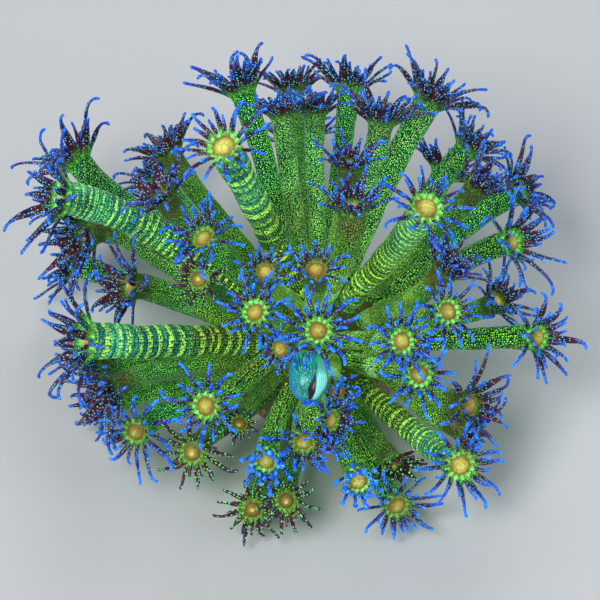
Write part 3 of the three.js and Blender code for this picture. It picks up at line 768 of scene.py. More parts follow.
@dataclass
class TentacleCrown:
    """The twenty-four tentacles of a polyp, two whorls of twelve.

    A centreline starts on the rim and has direction cos(q) axis + sin(q) outward, where the
    angle q opens along its length, then hooks at the tip, and sways sideways. The section is
    a flat oval, broad near the rim, slender in the last third, with a knob at the end.
    """

    layout: Layout
    index: int
    around: int = 6
    whorl: int = 12
    whorl_lift: float = 9.0
    inner_share: float = 0.58
    outer_radius: float = 0.98
    inner_radius: float = 0.87
    pucker_radius: float = 0.2
    least_open: float = 4.0
    sunk: float = 0.3
    steps: int = 40
    bunched_open: float = 25.0
    bunched_knob: float = 1.9
    bunched_calm: float = 0.3  # bends of a bunched crown's tentacles against the others'
    outer_height: float = 1.6
    inner_height: float = 2.0
    pucker_height: float = 5.2
    inner_lift_share: float = 0.6
    inner_fold: float = 24.0  # degrees that the inner whorl stands steeper
    closed_length: float = 0.3
    closed_width: float = 0.6
    closed_depth: float = 0.8
    lowest: float = 1.3  # mm over the cut
    bow_middle: float = 0.45
    hook_from: float = 0.6
    twist: float = 24.0
    twist_until: float = 0.5

    ALONG = np.array([0.0, 0.1, 0.25, 0.4, 0.55, 0.675, 0.8, 0.9, 0.95, 1.0])
    PETAL_WIDTH = np.array([0.55, 0.85, 1.08, 1.08, 0.88, 0.62, 0.44, 0.38, 0.42, 0.3])
    FINGER_WIDTH = np.array([0.4, 0.46, 0.52, 0.54, 0.51, 0.46, 0.41, 0.38, 0.43, 0.3])
    HALF_DEPTH = np.array([0.4, 0.38, 0.34, 0.32, 0.31, 0.3, 0.3, 0.31, 0.38, 0.28])
    FULL_SIZE_LENGTH = 9.0
    LEAST_SIZE = 0.72
    SIZE_LIMITS = (0.3, 1.3)  # of the length against the full one
    KNOB_FROM = 0.92
    FINGER_FACING = (0.5, 0.88)  # petals below the first, fingers from the second
    # Spreads of the seeded draws: shares of the length, and degrees.
    LENGTH_SPREAD = (0.64, 1.1)
    SIDEWAYS_GROWTH = 0.22
    SIDEWAYS_FACING = (0.2, 0.75)
    BOW = (18.0, 44.0)
    CURL = 46.0
    SWAY = 16.0
    HOOK = 48.0
    LENGTH_SEED = 700
    BEND_SEED = 1000
    SKIN_SEED = 1300
    SEED_RANGE = 50.0
    # Where the blue starts along a tentacle, how much sooner on one seen end on, and over
    # what share of the length it grows.
    BLUE_FROM = 0.62
    BLUE_SOONER = 0.3
    BLUE_GROWS = 0.34

    @property
    def head(self) -> Head:
        """The polyp's measured head."""
        return self.layout.heads[self.index]

    @property
    def is_closed(self) -> bool:
        """Whether the polyp has drawn its tentacles in."""
        return self.head.coat is Coat.CLOSED

    def starts(self) -> tuple[np.ndarray, np.ndarray, np.ndarray]:
        """Root points on the rim, outward directions and base angles of the tentacles.

        Returns:
            Points (24, 3), unit directions (24, 3) and opening angles in degrees (24,), the
            outer whorl first.
        """
        layout, index = self.layout, self.index
        side, rise = layout.cross_axes(index)
        outer = (np.arange(self.whorl) + 0.5) / self.whorl
        inner = np.arange(self.whorl) / self.whorl
        turn = TURN * np.concatenate([outer, inner])[:, None]
        outward = np.cos(turn) * side + np.sin(turn) * rise
        is_inner = np.arange(2 * self.whorl) >= self.whorl
        radius = np.where(is_inner, self.inner_radius, self.outer_radius)
        height = np.where(is_inner, self.inner_height, self.outer_height)
        if self.is_closed:
            radius = np.full(2 * self.whorl, self.pucker_radius)
            height = np.full(2 * self.whorl, self.pucker_height)
        base = layout.path[index][-1] + layout.axis[index] * height[:, None]
        step = np.where(np.arange(self.whorl) % 2 == 0, -self.whorl_lift, self.whorl_lift)
        steeper = step * self.inner_lift_share - self.inner_fold
        opening = self.head.open + np.concatenate([step, steeper])
        return base + outward * (radius * layout.rim[index])[:, None], outward, opening

    def lengths(self) -> np.ndarray:
        """Draws the lengths of the tentacles, the inner whorl's shorter.

        Returns:
            Lengths in mm, the outer whorl first.
        """
        rng = np.random.default_rng(self.LENGTH_SEED + self.index)
        share = np.concatenate([np.ones(self.whorl), np.full(self.whorl, self.inner_share)])
        sideways = 1.0 - smoothstep(*self.SIDEWAYS_FACING, np.array(self.head.facing))
        spread = rng.uniform(*self.LENGTH_SPREAD, 2 * self.whorl)
        spread = spread * (1.0 + self.SIDEWAYS_GROWTH * sideways)
        length = self.head.length * share * spread
        return length * self.closed_length if self.is_closed else length

    def _centrelines(self, lift: np.ndarray, length: np.ndarray) -> tuple[np.ndarray, ...]:
        """Centrelines of the tentacles at ALONG.

        The direction is cos(q) axis + sin(q) (cos(p) outward + sin(p) across); q opens
        evenly and hooks with the square of the way along the tip, and so does p. The points
        are its running sum.

        Args:
            lift: Degrees added to each tentacle's opening.
            length: Length of each tentacle.

        Returns:
            Points, unit directions and the sideways angles p.
        """
        rng = np.random.default_rng(self.BEND_SEED + self.index)
        count = 2 * self.whorl
        base, outward, opening = self.starts()
        axis = self.layout.axis[self.index]
        across = np.cross(axis, outward)
        u = np.linspace(0.0, 1.0, self.steps + 1)[None, :]
        bow = rng.uniform(*self.BOW, count)[:, None]
        curl = (self.head.curl + rng.normal(0.0, self.CURL, count))[:, None]
        sway = rng.normal(0.0, self.SWAY, count)[:, None]
        hook = rng.normal(0.0, self.HOOK, count)[:, None]
        calm = self.bunched_calm if self.head.open < self.bunched_open else 1.0
        mean = np.maximum(opening + lift, self.least_open)[:, None]
        tip = np.clip((u - self.hook_from) / (1.0 - self.hook_from), 0.0, 1.0)
        theta = np.radians(mean + calm * (bow * (u - self.bow_middle) + curl * tip**2))
        psi = np.radians(calm * (sway * u + hook * tip**2))[..., None]
        flat = np.cos(psi) * outward[:, None] + np.sin(psi) * across[:, None]
        direction = np.cos(theta)[..., None] * axis + np.sin(theta)[..., None] * flat
        step = (direction[:, 1:] + direction[:, :-1]) / 2.0
        run = np.cumsum(step, axis=1) * (length / self.steps)[:, None, None]
        line = np.concatenate([np.zeros((count, 1, 3)), run], axis=1) + base[:, None]
        line[..., 2] = np.maximum(line[..., 2], self.lowest)
        rows = np.rint(self.ALONG * self.steps).astype(int)
        return line[:, rows], unit(direction[:, rows]), psi[:, rows]

    def add_to(self, surface: Surface, lift: np.ndarray, scale: np.ndarray) -> None:
        """Adds the tentacles to the polyp's surface.

        Args:
            surface: The polyp's surface.
            lift: Degrees added to each tentacle's opening to keep it clear.
            scale: Share of its length that each tentacle keeps.
        """
        rng = np.random.default_rng(self.SKIN_SEED + self.index)
        count = 2 * self.whorl
        _, outward, _ = self.starts()
        across = np.cross(self.layout.axis[self.index], outward)
        length = self.lengths() * scale
        centre, forward, psi = self._centrelines(lift, length)
        centre = centre - forward[:, :1] * self.sunk * (1.0 - self.ALONG)[None, :, None]
        wide = np.cos(psi) * across[:, None] - np.sin(psi) * outward[:, None]
        wide = unit(wide - forward * dot(wide, forward))
        deep = np.cross(forward, wide)
        twist = np.radians(rng.normal(0.0, self.twist, count))[:, None, None]
        twist = twist * smoothstep(0.0, self.twist_until, self.ALONG)[None, :, None]
        wide, deep = (
            np.cos(twist) * wide + np.sin(twist) * deep,
            np.cos(twist) * deep - np.sin(twist) * wide,
        )
        half_width, half_depth = self._half_sizes(length)
        angle = angles_round(self.around)
        rings = (
            centre[:, :, None]
            + (half_width[..., None] * np.cos(angle))[..., None] * wide[:, :, None]
            + (half_depth[..., None] * np.sin(angle))[..., None] * deep[:, :, None]
        )
        end = centre[:, -1] + forward[:, -1] * half_depth[:, -1:]
        run = (self.ALONG[None, :] * length[:, None])[..., None]
        skin = skin_of(rings.shape[:3], np.cos(angle), self.ALONG[None, :, None], run)
        blue_from = self.BLUE_FROM - self.BLUE_SOONER * max(self.head.facing, 0.0) ** 2
        blue = (self.ALONG - blue_from) / self.BLUE_GROWS
        share = np.broadcast_to(blue, (count, len(self.ALONG)))
        seed = rng.uniform(0.0, self.SEED_RANGE, count)
        finish = np.full(len(self.ALONG) + 1, PolypBody.TENTACLE_FINISH)
        poles = np.stack([centre[:, 0], end], axis=1)
        surface.add_tubes(rings, poles, skin, share, seed, finish)

    def _half_sizes(self, length: np.ndarray) -> tuple[np.ndarray, np.ndarray]:
        """Half sizes at ALONG: petals on a crown at the side, fingers on one seen end on.

        Args:
            length: Length of each tentacle.

        Returns:
            Half widths and half depths, (tentacles, rows).
        """
        facing = smoothstep(*self.FINGER_FACING, np.array(self.head.facing))
        width = self.PETAL_WIDTH + (self.FINGER_WIDTH - self.PETAL_WIDTH) * facing
        grown = np.clip(length / self.FULL_SIZE_LENGTH, *self.SIZE_LIMITS)
        size = self.LEAST_SIZE + (1.0 - self.LEAST_SIZE) * grown
        knob = np.where(self.ALONG > self.KNOB_FROM, self.bunched_knob, 1.0)
        if self.head.open >= self.bunched_open:
            knob = np.ones_like(knob)
        half_width = size[:, None] * (width * knob)[None, :]
        half_depth = size[:, None] * (self.HALF_DEPTH * knob)[None, :]
        if self.is_closed:
            half_width = half_width * self.closed_width
            half_depth = half_depth * self.closed_depth
        return half_width, half_depth


@dataclass
class Spreading:
    """Finds for each tentacle the mildest change of opening and length that keeps it clear."""

    layout: Layout
    lifts: tuple[float, ...] = (0, -9, 9, -18, 18, -28, 27, -38)
    scales: tuple[float, ...] = (1.0, 0.85, 0.7, 0.5)
    clearance: float = 0.3
    floor: float = 2.0
    range: float = 17.0
    lift_cost: float = 40.0  # degrees of lift that cost 1
    length_cost: float = 1.4  # cost of the whole length
    free_room: float = 99.0

    # Where a tentacle is tested, as shares of its length, and how thick it is there.
    TESTED = np.array([0.3, 0.55, 0.8, 1.0])
    THICKNESS = np.array([0.75, 0.55, 0.4, 0.35])

    def solve(self, crowns: list[TentacleCrown]) -> list[tuple[np.ndarray, np.ndarray]]:
        """Chooses the settings polyp by polyp.

        Args:
            crowns: Every polyp's crown, in the layout's order.

        Returns:
            Lift in degrees and share of the length, for each crown's tentacles.
        """
        settings = sorted(
            ((scale, lift) for scale in self.scales for lift in self.lifts),
            key=lambda pair: abs(pair[1]) / self.lift_cost + (1 - pair[0]) * self.length_cost,
        )
        scale, lift = np.array(settings).T
        placed = [self._columns()]
        chosen = []
        for index, crown in enumerate(crowns):
            base, outward, opening = crown.starts()
            angle = np.radians(np.maximum(opening[:, None] + lift, crown.least_open))
            axis = self.layout.axis[index]
            way = np.cos(angle)[..., None] * axis + np.sin(angle)[..., None] * outward[:, None]
            reach = crown.lengths()[:, None] * scale
            tests = base[:, None, None] + (
                way[:, :, None] * reach[:, :, None, None] * self.TESTED[:, None]
            )
            room = self._room(tests, index, placed)
            clear = (room > self.clearance) & (tests[..., -1, 2] > self.floor)
            best = np.where(clear.any(axis=1), clear.argmax(axis=1), room.argmax(axis=1))
            taken = tests[np.arange(len(best)), best].reshape(-1, 3)
            owner = np.full(len(taken), index)
            placed.append((taken, np.tile(self.THICKNESS, len(best)), owner))
            chosen.append((lift[best], scale[best]))
        return chosen

    def _columns(self) -> tuple[np.ndarray, np.ndarray, np.ndarray]:
        """Balls along the columns and round the crowns.

        Returns:
            Their middles, radii and polyp numbers.
        """
        layout = self.layout
        share = np.linspace(0.0, 1.0, layout.steps + 1)
        crown = layout.path[:, -1] + layout.axis * layout.rim_height
        balls = np.concatenate([layout.path, crown[:, None]], axis=1)
        radii = np.concatenate([layout.column_radius(share), layout.rim[:, None]], axis=1)
        owner = np.repeat(np.arange(len(balls)), balls.shape[1])
        return balls.reshape(-1, 3), radii.ravel(), owner

    def _room(
        self,
        tests: np.ndarray,
        index: int,
        placed: list[tuple[np.ndarray, np.ndarray, np.ndarray]],
    ) -> np.ndarray:
        """Least free distance of each setting's test points to what is in their way.

        Args:
            tests: Test points, (tentacles, settings, points, 3).
            index: Number of the polyp.
            placed: Middles, radii and polyp numbers of the balls in the way.

        Returns:
            The distances, (tentacles, settings).
        """
        points, radii, owner = (np.concatenate(column) for column in zip(*placed))
        neck = self.layout.path[index][-1]
        near = np.linalg.norm(points - neck, axis=1) < self.range + radii
        near &= owner != index
        if not near.any():
            return np.full(tests.shape[:2], self.free_room)
        squares = squared_distances(tests.reshape(-1, 3), points[near])
        apart = np.sqrt(np.maximum(squares, 0.0)) - radii[near][None, :]
        free = apart.min(axis=1).reshape(tests.shape[:3]) - self.THICKNESS
        return free.min(axis=2)


@dataclass
class Skeleton:
    """The dome on its foot, cut flat, with corallite pits and fused buds.

    A surface of revolution r(h), pushed in at each pit by depth (1 - (d / size)^2)^2, where
    d is the distance to the nearest pit's middle, and pushed out a little by slow waves.
    """

    layout: Layout
    waist_height: float = 4.5
    foot_radius: float = 18.5
    around: int = 160
    rows: int = 76
    pits: int = 330
    pit_size: float = 1.15
    pit_depth: float = 0.4
    bud_count: int = 12
    bud_radius: float = 1.5
    foot_rows: int = 8
    edge_height: float = 0.35
    cut_rows: int = 16
    wave_height: float = 0.16
    top_sunk: float = 0.2
    bud_tries: int = 260
    bud_gap: float = 1.0
    root_gap: float = 0.7
    bud_around: int = 24
    bud_flutes: int = 8
    bud_flute: float = 0.07
    bud_dimple: float = 1.9

    CUT_SHARES = (0.99, 0.06)  # of the foot's radius, outermost and innermost ring of the cut
    # Waves of the dome: radians a mm across and along, and where the first starts.
    WAVE_ACROSS = 0.55
    WAVE_ALONG = 0.48
    WAVE_START = 1.0
    # Heights in mm over which the relief grows, from nothing at the cut.
    LEVEL_HEIGHTS = (0.0, 6.0)
    RELIEF_HEIGHTS = (0.3, 3.0)
    # Sines of the highest and lowest places: 1 at the top, less the span down.
    PIT_SPAN = 1.42
    BUD_TOP = 0.98
    BUD_SPAN = 1.2
    BUD_SIDE = (0.3, 0.2, 1.0)  # in line with no bud
    # Share of the bud's radius, and height in mm over the dome.
    BUD_PROFILE = np.array(
        [
            (1.0, -1.0),
            (1.0, 0.2),
            (0.94, 0.9),
            (0.86, 1.6),
            (0.74, 2.2),
            (0.52, 2.6),
            (0.3, 2.55),
            (0.14, 2.2),
        ]
    )
    FLESH_FINISH = 0
    CUT_FINISH = 1
    BUD_FINISH = 2

    def build(self, materials: list[bpy.types.Material]) -> bpy.types.Object:
        """Makes the dome with its buds as one piece.

        Args:
            materials: Finishes of the flesh, the cut and the buds.

        Returns:
            The piece.
        """
        surface = Surface()
        self._add_dome(surface)
        self._add_buds(surface)
        return surface.build("skeleton_dome", materials)

    def _profile(self) -> np.ndarray:
        """Radius and height from the edge of the cut up to the top of the dome.

        Returns:
            A row of two for each ring: a smooth waist, then an arc of a circle.
        """
        radius, heart = self.layout.dome_radius, PLANE.heart_height
        lowest = -math.asin((heart - self.waist_height) / radius)
        angle = np.linspace(lowest, math.pi / 2, self.rows - self.foot_rows)[:-1]
        arc = np.stack([radius * np.cos(angle), heart + radius * np.sin(angle)], axis=1)
        rise = np.linspace(0.0, 1.0, self.foot_rows)[:-1]
        narrowing = (arc[0, 0] - self.foot_radius) * smoothstep(0, 1, rise)
        height = self.edge_height + (self.waist_height - self.edge_height) * rise
        foot = np.stack([self.foot_radius + narrowing, height], axis=1)
        return np.concatenate([foot, arc])

    def _add_dome(self, surface: Surface) -> None:
        """Adds the turned, pitted dome and its flat cut.

        Args:
            surface: The skeleton's surface.
        """
        profile = self._profile()
        angle = angles_round(self.around)
        ring = np.stack([np.cos(angle), np.sin(angle)], axis=1)
        points = np.empty((len(profile), self.around, 3))
        points[..., :2] = profile[:, None, :1] * ring[None]
        points[..., 2] = profile[:, None, 1]
        outward = unit(points - PLANE.heart)
        outward[..., 2] *= smoothstep(*self.LEVEL_HEIGHTS, points[..., 2])
        outward = unit(outward)
        wave = np.sin(points[..., 0] * self.WAVE_ACROSS + self.WAVE_START)
        wave = wave * np.sin(points[..., 1] * self.WAVE_ALONG)
        push = self.wave_height * wave - self.wave_height
        push = push - self.pit_depth * self._pit_share(points)
        push = push * smoothstep(*self.RELIEF_HEIGHTS, points[..., 2])
        points = points + outward * push[..., None]
        cut = np.linspace(*self.CUT_SHARES, self.cut_rows)[:, None, None]
        flat = np.zeros((self.cut_rows, self.around, 3))
        flat[..., :2] = cut * self.foot_radius * ring[None]
        rings = np.concatenate([flat[::-1], points])
        height = PLANE.heart_height + self.layout.dome_radius
        share = rings[:, 0, 2] / height
        poles = np.array([(0.0, 0.0, 0.0), (0.0, 0.0, height - self.top_sunk)])
        finish = np.full(len(rings) + 1, self.FLESH_FINISH)
        finish[: self.cut_rows] = self.CUT_FINISH
        surface.add_tubes(
            rings[None], poles[None], rings[None], share[None], np.zeros(1), finish
        )

    def _pit_share(self, points: np.ndarray) -> np.ndarray:
        """1 in the middle of a corallite pit and 0 outside it, on a golden spiral of pits.

        Args:
            points: Points of the dome, (rows, around, 3).

        Returns:
            The shares, (rows, around).
        """
        number = np.arange(self.pits)
        height = 1.0 - self.PIT_SPAN * (number + 0.5) / self.pits
        level = np.sqrt(1.0 - height**2)
        turn = GOLDEN_TURN * number
        middle = np.stack([level * np.cos(turn), level * np.sin(turn), height], axis=1)
        middle = PLANE.heart + middle * self.layout.dome_radius
        nearest = squared_distances(points.reshape(-1, 3), middle).min(axis=1)
        share = np.clip(1.0 - nearest / self.pit_size**2, 0.0, 1.0)
        return (share**2).reshape(points.shape[:-1])

    def _bud_places(self) -> np.ndarray:
        """Directions of the buds: the first free places down a golden spiral.

        Returns:
            Unit directions from the heart of the dome, (buds, 3).
        """
        layout = self.layout
        radius = layout.column_radius(np.zeros(1))[:, 0]
        places: list[np.ndarray] = []
        for number in range(self.bud_tries):
            height = self.BUD_TOP - self.BUD_SPAN * number / self.bud_tries
            level = math.sqrt(1.0 - height * height)
            turn = GOLDEN_TURN * number
            outward = np.array([level * math.cos(turn), level * math.sin(turn), height])
            place = PLANE.heart + outward * layout.dome_radius
            room = (np.linalg.norm(layout.root - place, axis=1) - radius).min()
            for other in places:
                apart = np.linalg.norm(other - outward) * layout.dome_radius
                room = min(room, apart - self.bud_radius - self.bud_gap)
            above_cut = place[2] > self.bud_radius + self.bud_gap
            if room > self.bud_radius + self.root_gap and above_cut:
                places.append(outward)
            if len(places) == self.bud_count:
                break
        return np.array(places)

    def _add_buds(self, surface: Surface) -> None:
        """Adds the buds: short fluted knobs whose tops fold in to a dimple.

        Args:
            surface: The skeleton's surface.
        """
        outward = self._bud_places()
        side = unit(np.cross(outward, self.BUD_SIDE))
        rise = np.cross(outward, side)
        angle = angles_round(self.bud_around)
        profile = self.BUD_PROFILE
        flute = 1.0 + self.bud_flute * np.cos(self.bud_flutes * angle)
        reach = self.bud_radius * profile[:, :1] * flute[None, :]
        centre = PLANE.heart + outward * self.layout.dome_radius
        rings = (
            centre[:, None, None]
            + outward[:, None, None] * profile[None, :, 1, None, None]
            + (reach * np.cos(angle))[None, ..., None] * side[:, None, None]
            + (reach * np.sin(angle))[None, ..., None] * rise[:, None, None]
        )
        poles = np.stack([centre - outward, centre + outward * self.bud_dimple], axis=1)
        height = profile[None, :, 1, None]
        skin = skin_of(rings.shape[:3], np.cos(angle), np.sin(angle), height)
        share = np.full((len(outward), len(profile)), 0.5)
        finish = np.full(len(profile) + 1, self.BUD_FINISH)
        surface.add_tubes(rings, poles, skin, share, np.arange(float(len(outward))), finish)


class Value:
    """A number socket that Python's operators work on, each adding its Math node."""

    def __init__(self, shader: "Shader", socket: bpy.types.NodeSocket) -> None:
        """Keeps the shader that the socket belongs to."""
        self.shader = shader
        self.socket = socket

    def _math(self, operation: str, *values: object) -> "Value":
        """Adds a Math node on this and the other values."""
        return self.shader.math(operation, *values)

    def __add__(self, other: object) -> "Value":
        """this + other"""
        return self._math("ADD", self, other)

    def __radd__(self, other: object) -> "Value":
        """other + this"""
        return self._math("ADD", other, self)

    def __sub__(self, other: object) -> "Value":
        """this - other"""
        return self._math("SUBTRACT", self, other)

    def __rsub__(self, other: object) -> "Value":
        """other - this"""
        return self._math("SUBTRACT", other, self)

    def __mul__(self, other: object) -> "Value":
        """this * other"""
        return self._math("MULTIPLY", self, other)

    def __rmul__(self, other: object) -> "Value":
        """other * this"""
        return self._math("MULTIPLY", other, self)

    def __truediv__(self, other: object) -> "Value":
        """this / other"""
        return self._math("DIVIDE", self, other)

    def sine(self) -> "Value":
        """Sine of this, in radians."""
        return self._math("SINE", self)

    def size(self) -> "Value":
        """This without its sign."""
        return self._math("ABSOLUTE", self)

    def ramp(self, low: float, high: float) -> "Value":
        """Smooth 0 to 1 as this goes from low to high, which may be the lower of the two.

        Args:
            low: Where it is 0.
            high: Where it is 1.

        Returns:
            The share.
        """
        node = self.shader.node(
            "ShaderNodeMapRange",
            {"interpolation_type": "SMOOTHSTEP"},
            {"Value": self, "From Min": low, "From Max": high},
        )
        return Value(self.shader, node.outputs["Result"])


Colour = tuple[float, float, float]
BLACK: Colour = (0.0, 0.0, 0.0)


class Shader:
    """A material under construction, with the one method that makes its nodes."""

    def __init__(self, name: str) -> None:
        """Starts a material with a Principled shader.

        Args:
            name: Name of the material.
        """
        self.material = bpy.data.materials.new(name)
        self.material.use_nodes = True
        self.tree = self.material.node_tree
        self.shader = self.tree.nodes["Principled BSDF"]

    def node(self, kind: str, settings: dict, sockets: dict) -> bpy.types.Node:
        """Adds a node.

        Args:
            kind: Blender's type name of the node.
            settings: Properties of the node, set first.
            sockets: Value or link of each input, by name or number.

        Returns:
            The node.
        """
        node = self.tree.nodes.new(kind)
        for key, value in settings.items():
            setattr(node, key, value)
        for key, value in sockets.items():
            self._feed(node.inputs[key], value)
        return node

    def _feed(self, socket: bpy.types.NodeSocket, value: object) -> None:
        """Links or sets one input.

        Args:
            socket: The input.
            value: A link, a number, or a colour or vector as a tuple.
        """
        if isinstance(value, Value):
            value = value.socket
        if isinstance(value, bpy.types.NodeSocket):
            self.tree.links.new(value, socket)
        elif isinstance(value, tuple) and socket.type == "RGBA":
            socket.default_value = (*value[:3], 1.0)
        else:
            socket.default_value = value

    def math(self, operation: str, *values: object) -> Value:
        """Adds a Math node on one to three values."""
        node = self.node("ShaderNodeMath", {"operation": operation}, dict(enumerate(values)))
        return Value(self, node.outputs[0])

    def attribute(self, name: str) -> tuple[Value, Value, Value]:
        """Reads the three numbers of a vector attribute.

        Args:
            name: Name of the attribute.

        Returns:
            The numbers.
        """
        node = self.node("ShaderNodeAttribute", {"attribute_name": name}, {})
        parts = self.node("ShaderNodeSeparateXYZ", {}, {0: node.outputs["Vector"]})
        return tuple(Value(self, parts.outputs[axis]) for axis in range(3))

    def number(self, name: str) -> Value:
        """A number attribute."""
        node = self.node("ShaderNodeAttribute", {"attribute_name": name}, {})
        return Value(self, node.outputs["Fac"])

    def vector(self, x: object, y: object, z: object) -> bpy.types.NodeSocket:
        """A vector made of three values."""
        return self.node("ShaderNodeCombineXYZ", {}, {0: x, 1: y, 2: z}).outputs[0]

    def place(self) -> bpy.types.NodeSocket:
        """Object coordinates, in metres."""
        return self.node("ShaderNodeTexCoord", {}, {}).outputs["Object"]

    def distance(self, vector: object, point: Colour) -> Value:
        """Distance from a vector to a fixed point."""
        node = self.node("ShaderNodeVectorMath", {"operation": "DISTANCE"}, {0: vector, 1: point})
        return Value(self, node.outputs["Value"])

    def noise(self, vector: object, scale: float, detail: float = 2.0) -> Value:
        """Perlin noise from 0 to 1.

        Args:
            vector: Where it is read.
            scale: Waves a unit.
            detail: How many finer layers are added.

        Returns:
            The noise.
        """
        node = self.node(
            "ShaderNodeTexNoise", {}, {"Vector": vector, "Scale": scale, "Detail": detail}
        )
        return Value(self, node.outputs["Fac"])

    def cells(self, vector: object, randomness: float) -> tuple[Value, Value]:
        """Flat Voronoi cells.

        Args:
            vector: Place on the flat grid, one cell a unit.
            randomness: 0 for a square grid, 1 for none.

        Returns:
            Distance to the cell's point, and a random number a cell.
        """
        node = self.node(
            "ShaderNodeTexVoronoi",
            {"voronoi_dimensions": "2D"},
            {"Vector": vector, "Scale": 1.0, "Randomness": randomness},
        )
        parts = self.node("ShaderNodeSeparateXYZ", {}, {0: node.outputs["Color"]})
        return Value(self, node.outputs["Distance"]), Value(self, parts.outputs[0])

    def specks(self, vector: object, scale: float) -> Value:
        """Distance to the nearest point of a solid Voronoi pattern."""
        node = self.node("ShaderNodeTexVoronoi", {}, {"Vector": vector, "Scale": scale})
        return Value(self, node.outputs["Distance"])

    def most(self, one: object, other: object) -> Value:
        """The greater of two values."""
        return self.math("MAXIMUM", one, other)

    def capped(self, value: object) -> Value:
        """A value, at most 1."""
        return self.math("MINIMUM", value, 1.0)

    def turn(self, cosine: Value, sine: Value) -> Value:
        """Angle with a cosine and a sine, in radians."""
        return self.math("ARCTAN2", sine, cosine)

    def mix(self, factor: object, low: object, high: object) -> bpy.types.NodeSocket:
        """Mixes two colours.

        Args:
            factor: Share of the second.
            low: Colour at 0.
            high: Colour at 1.

        Returns:
            The mixed colour.
        """
        node = self.node(
            "ShaderNodeMix", {"data_type": "RGBA"}, {0: factor, 6: low, 7: high}
        )
        return node.outputs[2]

    def bump(self, height: Value, distance: float, strength: float) -> bpy.types.NodeSocket:
        """Normal from a height.

        Args:
            height: The height, 0 to 1.
            distance: How many metres 1 stands for.
            strength: Share of the slope that shows.

        Returns:
            The normal.
        """
        node = self.node(
            "ShaderNodeBump",
            {},
            {"Height": height, "Distance": distance, "Strength": strength},
        )
        return node.outputs[0]

    def finish(self, **sockets: object) -> bpy.types.Material:
        """Feeds the Principled shader.

        Args:
            sockets: Value or link of each input, with underscores for spaces.

        Returns:
            The finished material.
        """
        for key, value in sockets.items():
            self._feed(self.shader.inputs[key.replace("_", " ")], value)
        return self.material


